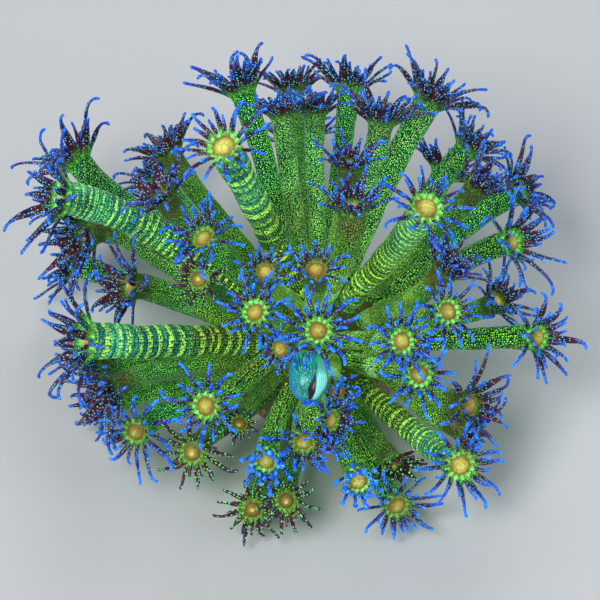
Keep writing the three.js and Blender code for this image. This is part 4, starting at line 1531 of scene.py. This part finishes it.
@dataclass(frozen=True)
class ColumnFinish:
    """Dark teal to olive skin, thick with yellow-green speckles in lengthwise rows.

    Each cell of a slightly disordered grid round and along the column has a speckle. Where
    the coat is ringed they run together into rings at uneven distances. Light is painted in too:
    a pool of light in the middle turns the ground gold and the speckles yellow, patchy mint glare
    is painted there as highlights, and the speckles glow less toward the root as painted shade.
    Noise is measured in waves a metre, and reaches from the middle in metres.
    """

    deep: Colour = (0.0006, 0.007, 0.009)
    teal: Colour = (0.0012, 0.045, 0.043)
    olive: Colour = (0.040, 0.050, 0.001)
    lit_gold: Colour = (0.080, 0.068, 0.001)
    maroon: Colour = (0.080, 0.018, 0.003)
    green: Colour = (0.03, 0.64, 0.15)
    lime: Colour = (0.16, 0.88, 0.04)
    yellow: Colour = (0.55, 1.0, 0.10)
    turquoise: Colour = (0.003, 0.17, 0.20)
    gleam: Colour = (0.01, 0.50, 0.46)
    mint: Colour = (0.42, 1.0, 0.36)
    frost: Colour = (0.40, 0.94, 0.22)
    night: Colour = (0.0, 0.005, 0.006)
    rows: float = 36.0
    pitch: float = 0.45
    least_size: float = 0.62
    size_growth: float = 0.6
    ringed_rows: float = 1.35
    streaks: float = 24.0
    cloud_noise: float = 170.0
    wobble_noise: float = 520.0
    rust_noise: float = 85.0
    glare_noise: float = 95.0
    grain_noise: float = 900.0
    sway_noise: float = 190.0
    glare_reach: float = 0.023
    glare_core: float = 0.007
    light_pool_reach: float = 0.045
    light_pool_core: float = 0.012
    glow: float = 1.0
    roughness: float = 0.45
    relief: float = 0.0002
    specular: float = 0.25
    coat: float = 0.1
    coat_roughness: float = 0.25
    sheen: float = 0.06
    sheen_tint: Colour = (0.02, 0.55, 1.0)

    def make(self, coat: Coat) -> bpy.types.Material:
        """Builds the material of a coat.

        Args:
            coat: The coat.

        Returns:
            The material.
        """
        tone: Tone = coat.value
        shader = Shader(f"{coat.name.lower()}_skin")
        cosine, sine, run = shader.attribute("skin")
        share = shader.number("share")
        seed = shader.number("seed")
        turn = shader.turn(cosine, sine) / TURN
        place = shader.place()
        cloud = shader.noise(place, self.cloud_noise)
        wobble = shader.noise(place, self.wobble_noise) - 0.5
        size = self.least_size + self.size_growth * tone.glow
        along = run / (self.pitch * size) + seed * 3.7 + wobble * 0.6
        closer = self.ringed_rows if tone.band else 1.0
        rows = (share * 0.3 + 0.7) * (self.rows * closer / size)
        cell = shader.vector(turn * rows + wobble * 0.8, along, 0.0)
        distance, pick = shader.cells(cell, 0.55 if tone.band else 0.7)
        if tone.band:
            ring = self._rings(shader, run, seed, place, tone.band)
            distance = distance - ring * 0.2
        patch = cloud.ramp(0.34, 0.62)
        distance = distance - tone.frost * 0.06
        speck = distance.ramp(0.39, 0.18) * (pick * 0.6 + 0.4) * (patch * 0.4 + 0.6)
        if tone.band:
            speck = speck * (ring * 0.5 + 0.5)
        # Painted shade: the speckles glow a quarter less toward the root, where the columns
        # crowd.
        lit = share.ramp(0.0, 0.3) * 0.25 + 0.75
        olive = shader.capped(share.ramp(0.6, 0.1) * 0.7 + tone.olive * 0.75)
        ground = shader.mix(cloud.ramp(0.3, 0.68), self.deep, self.teal)
        ground = shader.mix(olive, ground, self.olive)
        rusty = shader.most(share.ramp(0.8, 0.3), tone.maroon * 0.6)
        rust = shader.noise(place, self.rust_noise).ramp(0.49, 0.63) * rusty
        ground = shader.mix(rust * 0.8, ground, self.maroon)
        # Painted pool of light in the middle: the ground turns gold, the speckles yellower, and
        # they glow fully there.
        inner = shader.distance(place, GLARE)
        light_pool = inner.ramp(self.light_pool_reach, self.light_pool_core) * cloud.ramp(0.3, 0.55)
        lit = shader.most(lit, light_pool * 1.2)
        ground = shader.mix(light_pool * 0.7, ground, self.lit_gold)
        dots = shader.mix(pick.ramp(0.1, 0.7), self.green, self.lime)
        yellow = shader.most(olive * 0.3, light_pool * 0.5)
        dots = shader.mix(pick.ramp(0.7, 1.0) * 0.5 + yellow, dots, self.yellow)
        dots = shader.mix(pick.ramp(0.2, 0.8) * tone.frost * 0.75, dots, self.frost)
        if tone.band:
            upper = share.ramp(0.3, 0.85)
            ground = shader.mix(upper * (0.25 + cloud * 0.7), ground, self.turquoise)
            streak = self._rings(shader, run, seed + 31.0, place, tone.band * 0.45)
            streak = streak * upper * cloud.ramp(0.38, 0.62) * (1.0 - ring)
            streak = streak * (pick * 0.5 + 0.2)
            speck = shader.most(speck, streak)
            dots = shader.mix(ring * 0.8, dots, self.yellow)
            dots = shader.mix(streak, dots, self.gleam)
        cup = share.ramp(0.84, 0.99) * tone.maroon
        streak = (turn * (TURN * self.streaks) + cloud * 6.0).sine().ramp(-0.2, 0.9)
        flesh = shader.mix(streak * 0.6, self.maroon, self.olive)
        ground = shader.mix(cup * 0.85, ground, flesh)
        speck = speck * (1.0 - cup * 0.7) * (1.0 - rust * 0.4) * (1.0 - tone.shade * 0.4)
        # Painted highlight: patchy pale mint glare on the columns near the middle, brightening
        # the speckles.
        patchy = shader.noise(place, self.glare_noise).ramp(0.44, 0.62)
        glare = inner.ramp(self.glare_reach, self.glare_core) * patchy
        speck = shader.capped(speck * (glare + 1.0) + glare * 0.12)
        dots = shader.mix(glare, dots, self.mint)
        height = speck * 0.6 + shader.noise(place, self.grain_noise) * 0.5
        return shader.finish(
            Base_Color=shader.mix(speck, ground, dots),
            Emission_Color=shader.mix(speck * lit, self.night, dots),
            Emission_Strength=self.glow,
            Roughness=self.roughness,
            Normal=shader.bump(height, self.relief, 0.6),
            Specular_IOR_Level=self.specular,
            Coat_Weight=self.coat,
            Coat_Roughness=self.coat_roughness,
            Sheen_Weight=self.sheen,
            Sheen_Tint=self.sheen_tint,
        )

    def _rings(
        self, shader: Shader, run: Value, seed: Value, place: object, band: float
    ) -> Value:
        """Rings: a sine of the length, its phase and strength varied by slow noise.

        Args:
            shader: The material under construction.
            run: Length along the column, in mm.
            seed: Number of the column.
            place: Object coordinates.
            band: Millimetres between rings.

        Returns:
            1 on a ring and 0 between rings.
        """
        slow = shader.noise(shader.vector(run * 0.22, seed, 0.0), 1.0, 1.0)
        strong = shader.noise(shader.vector(run * 0.33, seed + 7.0, 0.0), 1.0, 1.0)
        sway = shader.noise(place, self.sway_noise) * 3.0
        wave = (run * (TURN / band) + slow * 7.0 + sway).sine()
        return wave.ramp(-0.1, 0.5) * (strong.ramp(0.36, 0.56) * 0.75 + 0.25)


@dataclass(frozen=True)
class TentacleFinish:
    """Maroon blades with thin blue edges, blue knobbed tips and rows of sparkles."""

    maroon: Colour = (0.085, 0.010, 0.010)
    plum: Colour = (0.022, 0.004, 0.042)
    blue: Colour = (0.003, 0.060, 0.55)
    tip: Colour = (0.004, 0.18, 0.86)
    cyan: Colour = (0.12, 0.70, 0.95)
    green: Colour = (0.20, 0.90, 0.07)
    root: Colour = (0.10, 0.70, 0.08)
    cloud_noise: float = 420.0
    glint_noise: float = 1300.0
    sparkles_across: float = 1.9
    sparkles_along: float = 2.7  # a millimetre
    sparkle_size: float = 0.85
    shade_growth: float = 0.38
    sparkle_rarity: float = 0.66
    shade_crowding: float = 0.3
    shade_darkening: float = 0.93
    glow: float = 0.55
    roughness: float = 0.38
    relief: float = 0.00018
    specular: float = 0.3
    coat: float = 0.12
    coat_roughness: float = 0.2

    def make(self, coat: Coat) -> bpy.types.Material:
        """Builds the material of a coat.

        Args:
            coat: The coat.

        Returns:
            The material.
        """
        tone: Tone = coat.value
        shader = Shader(f"{coat.name.lower()}_tentacle")
        across, along, run = shader.attribute("skin")
        blue = shader.number("share")
        seed = shader.number("seed")
        place = shader.place()
        cloud = shader.noise(place, self.cloud_noise)
        dark = 1.0 - tone.shade * self.shade_darkening
        edge = across.size().ramp(0.76, 1.0) * (cloud.ramp(0.3, 0.6) * 0.7 + 0.3)
        edge = edge * along.ramp(0.05, 0.35)
        tip = (blue + (cloud - 0.5) * 1.2 - tone.maroon * 0.35).ramp(0.0, 1.0)
        blueness = shader.capped(edge + tip) * dark
        dusk = cloud.ramp(0.38, 0.62) * (1.0 - tone.maroon * 0.6)
        face = shader.mix(dusk, self.maroon, self.plum)
        skin = shader.mix(blueness, face, self.blue)
        light = blue.ramp(0.65, 1.65) * (cloud.ramp(0.35, 0.62) * 0.8 + 0.2)
        light = light * dark
        skin = shader.mix(light, skin, self.tip)
        fine = self.sparkle_size - self.shade_growth * tone.shade
        column = across * (self.sparkles_across * fine) + seed * 5.0
        row = run * (self.sparkles_along * fine) + seed * 3.0
        distance, pick = shader.cells(shader.vector(column, row, 0.0), 0.8)
        often = self.sparkle_rarity - self.shade_crowding * tone.shade
        sparkle = distance.ramp(0.34, 0.16) * pick.ramp(often - 0.1, often + 0.1)
        sparkle = sparkle * along.ramp(0.08, 0.3)
        bluer = along.ramp(0.1, 0.45) * (1.0 - tone.shade * 0.85)
        spark = shader.mix(bluer, self.green, self.cyan)
        glint = shader.noise(place, self.glint_noise).ramp(0.52, 0.7) * light
        skin = shader.mix(glint * 0.45, skin, self.cyan)
        root = along.ramp(0.26, 0.04) * tone.glow * (distance.ramp(0.5, 0.25) * 0.8 + 0.2)
        colour = shader.mix(root, shader.mix(sparkle, skin, spark), self.root)
        shine = shader.mix(blueness * 0.7, BLACK, self.blue)
        shine = shader.mix(light, shine, self.tip)
        shine = shader.mix(sparkle, shine, spark)
        shine = shader.mix(root, shine, self.root)
        return shader.finish(
            Base_Color=colour,
            Emission_Color=shine,
            Emission_Strength=self.glow,
            Roughness=self.roughness,
            Normal=shader.bump(sparkle + cloud * 0.6, self.relief, 0.5),
            Specular_IOR_Level=self.specular,
            Coat_Weight=self.coat,
            Coat_Roughness=self.coat_roughness,
        )


@dataclass(frozen=True)
class DiscFinish:
    """Ochre disc with a pale mouth, a brown edge and a ring of bright green lobes."""

    mouth: Colour = (0.30, 0.66, 0.42)
    ochre: Colour = (0.32, 0.27, 0.025)
    cream: Colour = (0.80, 0.74, 0.14)
    orange: Colour = (0.36, 0.14, 0.018)
    brown: Colour = (0.075, 0.045, 0.004)
    green: Colour = (0.11, 0.72, 0.05)
    mint: Colour = (0.34, 0.98, 0.30)
    cloud_noise: float = 700.0
    broad_noise: float = 330.0
    grain_noise: float = 1500.0
    lobes: float = 12.0
    folds: float = 24.0
    beads_round: float = 5.5  # a radian
    beads_out: float = 8.0  # over the radius of the rim
    glow: float = 0.4
    roughness: float = 0.6
    relief: float = 0.00022
    coat: float = 0.05
    coat_roughness: float = 0.4

    def make(self, coat: Coat) -> bpy.types.Material:
        """Builds the material of a coat.

        Args:
            coat: The coat.

        Returns:
            The material.
        """
        tone: Tone = coat.value
        shader = Shader(f"{coat.name.lower()}_disc")
        cosine, sine, radius = shader.attribute("skin")
        turn = shader.turn(cosine, sine)
        place = shader.place()
        cloud = shader.noise(place, self.cloud_noise)
        broad = shader.noise(place, self.broad_noise)
        grain = shader.noise(place, self.grain_noise)
        radius = radius + (cloud - 0.5) * 0.2 + (broad - 0.5) * 0.25
        own = shader.noise(shader.vector(shader.number("seed") * 7.3, 0.5, 0.5), 1.0, 0.0)
        middle = shader.mix(max(tone.maroon - 0.3, 0.0), self.ochre, self.orange)
        pale = broad.ramp(0.25, 0.7) * (0.2 + 0.7 * tone.cream) + own.ramp(0.5, 0.8) * 0.4
        pale = pale + radius.ramp(0.5, 0.1) * tone.glow * 0.4
        middle = shader.mix(shader.capped(pale), middle, self.cream)
        dark = own.ramp(0.5, 0.3) * (0.4 - 0.35 * tone.cream) + tone.shade * 0.55
        # Painted highlight: a shaded polyp's disc turns cream in its middle.
        middle = shader.mix(radius.ramp(0.3, 0.1) * tone.shade * 0.8, middle, self.cream)
        middle = shader.mix(dark * radius.ramp(0.1, 0.3), middle, self.brown)
        streak = (turn * self.folds + broad * 4.0).sine().ramp(-0.3, 0.9)
        colour = shader.mix(streak * radius.ramp(0.12, 0.45) * 0.4, middle, self.brown)
        colour = shader.mix(grain.ramp(0.46, 0.68) * 0.45, colour, self.brown)
        colour = shader.mix(radius.ramp(0.36, 0.66) * 0.8, colour, self.brown)
        colour = shader.mix(radius.ramp(0.14, 0.04) * 0.7, colour, self.mouth)
        lumps = (turn * self.lobes + broad * 5.0).sine().ramp(-0.8, 0.4)
        cell = shader.vector(turn * self.beads_round, radius * self.beads_out, 0.0)
        distance, pick = shader.cells(cell, 0.9)
        beads = distance.ramp(0.5, 0.22) * (pick * 0.5 + 0.5)
        lumps = lumps * (0.8 * tone.glow - 0.2)
        ring = radius.ramp(0.58, 0.76) * (lumps + beads * 0.8 + 0.1)
        ring = ring * (broad.ramp(0.3, 0.5) * 0.5 + 0.5) * (0.3 + tone.glow * 0.7)
        pale = cloud.ramp(0.4, 0.62) * tone.glow * 0.5 + lumps * 0.5
        green = shader.mix(pale, self.green, self.mint)
        colour = shader.mix(shader.capped(ring), colour, green)
        return shader.finish(
            Base_Color=colour,
            Emission_Color=colour,
            Emission_Strength=self.glow,
            Roughness=self.roughness,
            Normal=shader.bump(cloud + grain * 0.5 + streak * 0.4, self.relief, 0.6),
            Coat_Weight=self.coat,
            Coat_Roughness=self.coat_roughness,
        )


@dataclass(frozen=True)
class ClosedFinish:
    """Turquoise skin of the drawn-in polyp, with pale lengthwise striations."""

    turquoise: Colour = (0.004, 0.20, 0.22)
    dark: Colour = (0.002, 0.070, 0.10)
    blue: Colour = (0.004, 0.14, 0.42)
    line: Colour = (0.02, 0.45, 0.50)
    green: Colour = (0.06, 0.60, 0.20)
    pale: Colour = (0.28, 0.86, 0.78)
    maroon: Colour = (0.012, 0.006, 0.014)
    cloud_noise: float = 260.0
    stripes: float = 52.0
    stripe_twist: float = 1.6
    dashes_round: float = 9.0  # a radian
    dashes_along: float = 1.3  # a millimetre
    glow: float = 0.45
    roughness: float = 0.4
    relief: float = 0.0002
    coat: float = 0.3
    coat_roughness: float = 0.2

    def make(self) -> bpy.types.Material:
        """Builds the material. The skin's angle is 0 on the side that faces the eye.

        Returns:
            The material.
        """
        shader = Shader("turquoise_skin")
        cosine, sine, run = shader.attribute("skin")
        share = shader.number("share")
        place = shader.place()
        cloud = shader.noise(place, self.cloud_noise)
        turn = shader.turn(cosine, sine) + (cloud - 0.5) * 0.2
        stripe = (turn * self.stripes + run * self.stripe_twist).sine().ramp(0.1, 0.95)
        cell = shader.vector(turn * self.dashes_round, run * self.dashes_along, 0.0)
        distance, pick = shader.cells(cell, 0.9)
        dash = distance.ramp(0.45, 0.15) * pick.ramp(0.25, 0.6) * turn.ramp(1.2, 0.6)
        colour = shader.mix(cloud.ramp(0.3, 0.65), self.dark, self.turquoise)
        colour = shader.mix(turn.ramp(0.5, 1.3) * 0.8, colour, self.blue)
        colour = shader.mix(stripe * (cloud * 0.9 + 0.1), colour, self.line)
        colour = shader.mix(dash * 0.85, colour, self.green)
        opening = share.ramp(*PolypBody.SLIT_SHARES)
        beside = turn - opening * PolypBody.SLIT_LEAN - PolypBody.SLIT
        lip = beside.ramp(0.0, -0.2) * beside.ramp(-1.35, -0.5) * share.ramp(0.86, 1.15)
        lip = lip * (1.0 - stripe * 0.6) * (cloud.ramp(0.25, 0.6) * 0.35 + 0.65)
        colour = shader.mix(lip, colour, self.pale)
        # Painted shade: the slit is coloured near black, as the dark inside its groove.
        slit = (beside.size() - opening * 0.26).ramp(0.06, -0.02) * share.ramp(0.93, 1.0)
        colour = shader.mix(slit, colour, self.maroon)
        return shader.finish(
            Base_Color=colour,
            Emission_Color=colour,
            Emission_Strength=self.glow,
            Roughness=self.roughness,
            Normal=shader.bump(stripe, self.relief, 0.5),
            Coat_Weight=self.coat,
            Coat_Roughness=self.coat_roughness,
        )


@dataclass(frozen=True)
class SkeletonFinish:
    """Olive tissue with green specks over the dome, bare tan skeleton near the foot."""

    tan: Colour = (0.42, 0.33, 0.20)
    shade: Colour = (0.16, 0.11, 0.06)
    olive: Colour = (0.055, 0.07, 0.008)
    green: Colour = (0.16, 0.42, 0.03)
    cloud_noise: float = 160.0
    grain_noise: float = 1400.0
    specks: float = 1100.0
    flesh_from: tuple[float, float] = (0.1, 0.24)  # shares of the dome's height
    glow: float = 0.3
    roughness: float = 0.7
    relief: float = 0.0004

    def make(self) -> bpy.types.Material:
        """Builds the material.

        Returns:
            The material.
        """
        shader = Shader("skeleton_tissue")
        height = shader.number("share")
        place = shader.place()
        cloud = shader.noise(place, self.cloud_noise, 4.0)
        grain = shader.noise(place, self.grain_noise, 3.0)
        distance = shader.specks(place, self.specks)
        bare = shader.mix(grain.ramp(0.35, 0.65), self.shade, self.tan)
        speck = distance.ramp(0.45, 0.2) * cloud.ramp(0.35, 0.6)
        flesh = shader.mix(speck, self.olive, self.green)
        cover = (height + (cloud - 0.5) * 0.25).ramp(*self.flesh_from)
        colour = shader.mix(cover, bare, flesh)
        shine = shader.mix(cover, BLACK, flesh)
        return shader.finish(
            Base_Color=colour,
            Emission_Color=shine,
            Emission_Strength=self.glow,
            Roughness=self.roughness,
            Normal=shader.bump(grain + distance, self.relief, 0.6),
        )


@dataclass(frozen=True)
class CutFinish:
    """The flat cut: pale porous skeleton with rings of small corallites."""

    pale: Colour = (0.60, 0.54, 0.42)
    pore: Colour = (0.20, 0.16, 0.10)
    corallites: float = 420.0
    grain_noise: float = 1800.0
    septa: float = 60.0
    roughness: float = 0.85
    relief: float = 0.0003

    def make(self) -> bpy.types.Material:
        """Builds the material.

        Returns:
            The material.
        """
        shader = Shader("skeleton_cut")
        place = shader.place()
        distance = shader.specks(place, self.corallites)
        grain = shader.noise(place, self.grain_noise, 3.0)
        wall = distance.ramp(0.3, 0.55)
        septa = (distance * self.septa + grain * 6.0).sine().ramp(-0.2, 0.6)
        colour = shader.mix(wall * 0.7 + septa * 0.3, self.pore, self.pale)
        return shader.finish(
            Base_Color=colour,
            Roughness=self.roughness,
            Normal=shader.bump(wall + grain * 0.5, self.relief, 0.6),
        )


@dataclass(frozen=True)
class FloorFinish:
    """Plain pale floor."""

    pale: Colour = (0.62, 0.64, 0.67)
    roughness: float = 0.7

    def make(self) -> bpy.types.Material:
        """Builds the material."""
        shader = Shader("pale_floor")
        return shader.finish(Base_Color=self.pale, Roughness=self.roughness)


class Reef:
    """Builds the colony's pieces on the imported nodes."""

    PLAIN_SLOT = "speckled_flesh"
    SLOTS = {
        Coat.RINGED: "ringed_flesh",
        Coat.BANDED: "ringed_flesh",
        Coat.FINE_RINGED: "ringed_flesh",
        Coat.CLOSED: "closed_flesh",
    }

    def __init__(self) -> None:
        """Settles the layout and makes the finishes that the polyps share."""
        self.layout = Layout(HEADS)
        self.layout.settle()
        self.skins = {coat: ColumnFinish().make(coat) for coat in Coat}
        self.skins[Coat.CLOSED] = ClosedFinish().make()
        self.tentacles = {coat: TentacleFinish().make(coat) for coat in Coat}
        self.discs = {coat: DiscFinish().make(coat) for coat in Coat}

    def add_polyps(self) -> None:
        """Makes one piece for each polyp, in place of its node."""
        crowns = [TentacleCrown(self.layout, index) for index in range(len(HEADS))]
        settings = Spreading(self.layout).solve(crowns)
        for index, head in enumerate(HEADS):
            surface = Surface()
            PolypBody(self.layout, index).add_to(surface)
            crowns[index].add_to(surface, *settings[index])
            coat = head.coat
            materials = [self.skins[coat], self.tentacles[coat], self.discs[coat]]
            piece = surface.build(f"{head.name}_flesh", materials)
            self._settle_in(piece, head.name, self.SLOTS.get(coat, self.PLAIN_SLOT))

    def add_skeleton(self) -> None:
        """Makes the dome with its buds, in place of its node."""
        materials = [SkeletonFinish().make(), CutFinish().make(), self.skins[Coat.OLIVE]]
        piece = Skeleton(self.layout).build(materials)
        self._settle_in(piece, "skeleton", "skeleton")

    @staticmethod
    def _settle_in(piece: bpy.types.Object, node: str, slot: str) -> None:
        """Puts a piece on the root body in place of a node, and reports it.

        Args:
            piece: The piece.
            node: Name of the node.
            slot: Name of the material's slot; not used.
        """
        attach(piece, "root")
        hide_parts(node)
        LOG.info("%s for %s, %d faces", piece.name, node, len(piece.data.polygons))


@dataclass(frozen=True)
class SoftLight:
    """A square light: where it hangs and its side in metres, its watts and its tint."""

    name: str
    place: tuple[float, float, float]
    side: float
    power: float
    tint: Colour


LIGHTS = (
    SoftLight("key_light", (-0.35, -0.5, 0.8), 0.45, 7.4, (1.0, 0.98, 0.95)),
    SoftLight("fill_light", (0.7, -0.3, 0.45), 0.7, 2.2, (0.88, 0.94, 1.0)),
    SoftLight("back_light", (0.1, 0.8, 0.6), 0.5, 3.5, (0.92, 0.96, 1.0)),
)


@dataclass
class Studio:
    """Pale floor, soft lights and the camera, in the photograph's frame.

    The picture's width and the camera's aim are in mm of the leaning plane, the floor in
    metres, the lens and its sensor in mm.
    """

    picture_width: float = 136.8
    lens: float = 300.0
    sensor: float = 36.0
    look_across: float = -3.4
    look_up: float = 10.3
    nearest: float = 0.01
    floor_half: float = 3.0
    floor_drop: float = -0.0002
    lit_point: tuple[float, float, float] = (0.0, 0.0, 0.03)
    surround: Colour = (0.80, 0.84, 0.90)
    surround_strength: float = 0.16

    def add_floor(self) -> None:
        """Adds the floor, a hair under the cut."""
        mesh = bpy.data.meshes.new("floor")
        square = ((-1, -1), (1, -1), (1, 1), (-1, 1))
        half, drop = self.floor_half, self.floor_drop
        mesh.from_pydata([(x * half, y * half, drop) for x, y in square], [], [(0, 1, 2, 3)])
        mesh.materials.append(FloorFinish().make())
        floor = bpy.data.objects.new("floor", mesh)
        bpy.context.scene.collection.objects.link(floor)

    def _add_light(self, soft: SoftLight) -> None:
        """Adds a light that looks at the colony.

        Args:
            soft: The light's values.
        """
        data = bpy.data.lights.new(soft.name, "AREA")
        data.size = soft.side
        data.energy = soft.power
        data.color = soft.tint
        light = bpy.data.objects.new(soft.name, data)
        light.location = soft.place
        aim = Vector(self.lit_point) - Vector(soft.place)
        light.rotation_euler = aim.to_track_quat("-Z", "Y").to_euler()
        bpy.context.scene.collection.objects.link(light)

    def add_lights(self) -> None:
        """Adds the key, the fill, the back light and an even pale surround."""
        for soft in LIGHTS:
            self._add_light(soft)
        world = bpy.data.worlds.new("surround")
        world.use_nodes = True
        background = world.node_tree.nodes["Background"]
        background.inputs["Color"].default_value = (*self.surround, 1.0)
        background.inputs["Strength"].default_value = self.surround_strength
        bpy.context.scene.world = world

    def add_camera(self) -> None:
        """Adds the camera, square to the leaning plane and far off, so that it flattens."""
        across, up, toward = PLANE.axes
        target = PLANE.heart + across * self.look_across + up * self.look_up
        distance = self.picture_width * self.lens / self.sensor
        data = bpy.data.cameras.new("camera")
        data.lens = self.lens
        data.sensor_width = self.sensor
        data.clip_start = self.nearest
        camera = bpy.data.objects.new("camera", data)
        camera.location = Vector((target + toward * distance) * METRES)
        camera.rotation_euler = Vector(toward).to_track_quat("Z", "Y").to_euler()
        bpy.context.scene.collection.objects.link(camera)
        bpy.context.scene.camera = camera
        bpy.context.scene.view_settings.view_transform = "Standard"


def main() -> None:
    """Builds the colony, then the studio round it."""
    logging.basicConfig(level=logging.INFO, format="%(name)s: %(message)s")
    reef = Reef()
    reef.add_polyps()
    reef.add_skeleton()
    studio = Studio()
    studio.add_floor()
    studio.add_lights()
    studio.add_camera()


if __name__ == "__main__":
    main()
